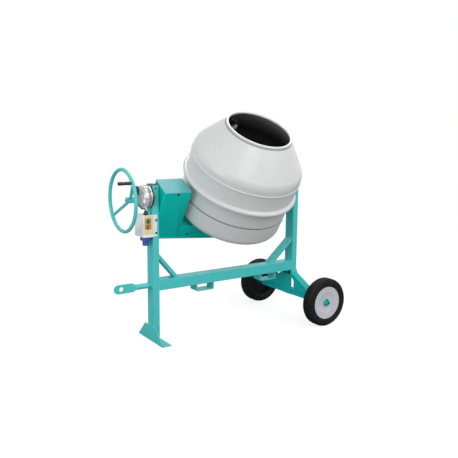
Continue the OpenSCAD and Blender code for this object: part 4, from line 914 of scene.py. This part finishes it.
BOX_W, BOX_H, BOX_Z, BOX_FRONT = 88, 162, 817, -70.0
BUTTON_X, START_Z, STOP_Z = -BOX_W * 0.54, BOX_Z + BOX_H * 0.74, BOX_Z + BOX_H * 0.47
EAR_X, EAR_ZS = 24.0, (843.0, 939.0)
EAR_CAP = [(CORE, -16.5), (7.6, -16.5), (7.6, -12.5)] + arc(5.6, -12.0, 2.0, 0, 90, 4) + [(CORE, -10.0)]
PANEL_X, PANEL_Z, PANEL_R = (-77.0, -26.0), (880.0, 962.0), 5.0
# Inset and reach of the panel's outlines, from its back edge to its face
PANEL_STEPS = ((0.0, 1.8), (0.0, 2.5), (0.4, 2.9), (6.0, 2.9))
COLLAR = [(12.6, 2.0), (16.0, 2.0), (16.0, 3.4), (15.2, 4.2), (13.4, 4.2), (12.6, 3.4)]
BUTTON_FACE, MARK_HALF, MARK_RING, MARK_R = 4.3 + 9.0, 5, 4.4, 0.9


def screw_caps():
    """Black caps over the two fixing screws of the switch box."""
    b = Build()
    for z in EAR_ZS:
        turned(EAR_CAP, 36, on_front(EAR_X, z, BOX_FRONT), None, b)
    piece("screw_caps", "frame", "black_plastic", b.verts, b.faces)


def plate_panel():
    """Ochre field behind the buttons, with rounded corners."""
    (x0, x1), (z0, z1), r = PANEL_X, PANEL_Z, PANEL_R
    corners = ((x1 - r, z1 - r, 0), (x0 + r, z1 - r, 90), (x0 + r, z0 + r, 180), (x1 - r, z0 + r, 270))
    rings = []
    for inset, out in PANEL_STEPS:
        ring = []
        for cx, cz, a in corners:
            for px, pz in arc(cx, cz, max(0.5, r - inset), a, a + 90, 6):
                ring.append(at(px, BOX_FRONT - out, pz))
        rings.append(ring)
    b = Build()
    b.loops(rings, closed_rings=False)
    b.cap(len(b.verts) - len(rings[0]), len(rings[0]), True)
    piece("plate_panel", "frame", "plate_yellow", b.verts, b.faces, [PANEL])


def collar(tag, z):
    b = turned(COLLAR, 48, on_front(BUTTON_X, z, BOX_FRONT))
    piece(f"{tag}_collar", "frame", "black_plastic", b.verts, b.faces)


def start_mark():
    """A short bar on the start button."""
    b = Build()
    y = BOX_FRONT - BUTTON_FACE
    b.tube([at(BUTTON_X, y, START_Z - MARK_HALF), at(BUTTON_X, y, START_Z + MARK_HALF)], MARK_R / MM, 10)
    piece("start_mark", "start_button", "button_green", b.verts, b.faces, [MARK_WHITE])


def stop_mark():
    """A ring on the stop button."""
    b = turned(arc(MARK_RING, BUTTON_FACE, MARK_R, 0, 330, 11), 40, on_front(BUTTON_X, STOP_Z, BOX_FRONT))
    piece("stop_mark", "stop_button", "button_red", b.verts, b.faces, [MARK_WHITE])


screw_caps()
plate_panel()
collar("start", START_Z)
start_mark()
collar("stop", STOP_Z)
stop_mark()


# Stage, camera and light

FLOOR_HALF, FLOOR_GLOW, FLOOR_TONE, AMBIENT = 30.0, 0.80, 0.34, 0.60
floor_mesh = bpy.data.meshes.new("floor")
corners = [(x * FLOOR_HALF, y * FLOOR_HALF, 0.0) for x, y in ((-1, -1), (1, -1), (1, 1), (-1, 1))]
floor_mesh.from_pydata(corners, [], [(0, 1, 2, 3)])
floor = bpy.data.objects.new("floor", floor_mesh)
bpy.context.scene.collection.objects.link(floor)


def seen_directly(tree, keys=("Is Glossy Ray", "Is Transmission Ray")):
    """1 for rays from the camera and for what mirrors and glass show."""
    path = tree.nodes.new("ShaderNodeLightPath")
    total = path.outputs["Is Camera Ray"]
    for key in keys:
        top = tree.nodes.new("ShaderNodeMath")
        top.operation = "MAXIMUM"
        tree.links.new(total, top.inputs[0])
        tree.links.new(path.outputs[key], top.inputs[1])
        total = top.outputs[0]
    return total


floor_mat = bpy.data.materials.new("floor_white")
floor_mat.use_nodes = True
tree = floor_mat.node_tree
bsdf = next(n for n in tree.nodes if n.type == "BSDF_PRINCIPLED")
bsdf.inputs["Base Color"].default_value = (FLOOR_TONE, FLOOR_TONE, FLOOR_TONE, 1)
bsdf.inputs["Roughness"].default_value = 0.9
bsdf.inputs["Specular IOR Level"].default_value = 0.0
bsdf.inputs["Emission Color"].default_value = (1, 1, 1, 1)
strength = tree.nodes.new("ShaderNodeMath")
strength.operation = "MULTIPLY"
strength.inputs[1].default_value = FLOOR_GLOW
tree.links.new(seen_directly(tree, ("Is Transmission Ray",)), strength.inputs[0])
tree.links.new(strength.outputs[0], bsdf.inputs["Emission Strength"])
floor_mesh.materials.append(floor_mat)

world = bpy.data.worlds.new("studio")
bpy.context.scene.world = world
world.use_nodes = True
tree = world.node_tree
back = next(n for n in tree.nodes if n.type == "BACKGROUND")
back.inputs["Color"].default_value = (1, 1, 1, 1)
level = tree.nodes.new("ShaderNodeMapRange")
level.inputs["To Min"].default_value = AMBIENT
level.inputs["To Max"].default_value = 1.0
tree.links.new(seen_directly(tree), level.inputs["Value"])
tree.links.new(level.outputs["Result"], back.inputs["Strength"])

LAMP_SIZE, CENTRE = 2.4, (0.0, 0.0, 0.9)


def lamp(name, place, watts, aim=CENTRE, gloss_only=False):
    """Square soft box; one that is gloss_only adds a highlight and no other light."""
    data = bpy.data.lights.new(name, "AREA")
    data.shape = "SQUARE"
    data.size = LAMP_SIZE
    data.energy = watts
    obj = bpy.data.objects.new(name, data)
    bpy.context.scene.collection.objects.link(obj)
    obj.location = place
    obj.rotation_euler = (Vector(aim) - Vector(place)).to_track_quat("-Z", "Y").to_euler()
    obj.visible_diffuse = not gloss_only


lamp("front_left", (-1.5, -4.0, 3.6), 53)
lamp("front_right", (2.2, -4.0, 3.6), 75)
lamp("left", (-4.4, -1.0, 1.5), 47)
lamp("sheen", (1.47, 1.24, 4.47), 120, (-0.47, -0.04, 1.21), True)

# Camera solved from the columns, the beam and both wheels
LENS, SENSOR = 47.006, 36.0
AZIMUTH, PITCH, ROLL_ANGLE = 34.381, 9.381, 0.593
EYE = (-1998.39, -3965.45, 1599.79)
az, pitch, roll = (math.radians(a) for a in (AZIMUTH, PITCH, ROLL_ANGLE))
forward = Vector((math.sin(az) * math.cos(pitch), math.cos(az) * math.cos(pitch), -math.sin(pitch)))
right = Vector((math.cos(az), -math.sin(az), 0.0))
up = right.cross(forward)
right, up = (right * math.cos(roll) + up * math.sin(roll), up * math.cos(roll) - right * math.sin(roll))
camera_data = bpy.data.cameras.new("camera")
camera_data.lens = LENS
camera_data.sensor_width = SENSOR
camera = bpy.data.objects.new("camera", camera_data)
bpy.context.scene.collection.objects.link(camera)
turn = Matrix((right, up, -forward)).transposed().to_4x4()
camera.matrix_world = Matrix.Translation(at(*EYE)) @ turn
bpy.context.scene.camera = camera

bpy.context.scene.view_settings.view_transform = "Standard"
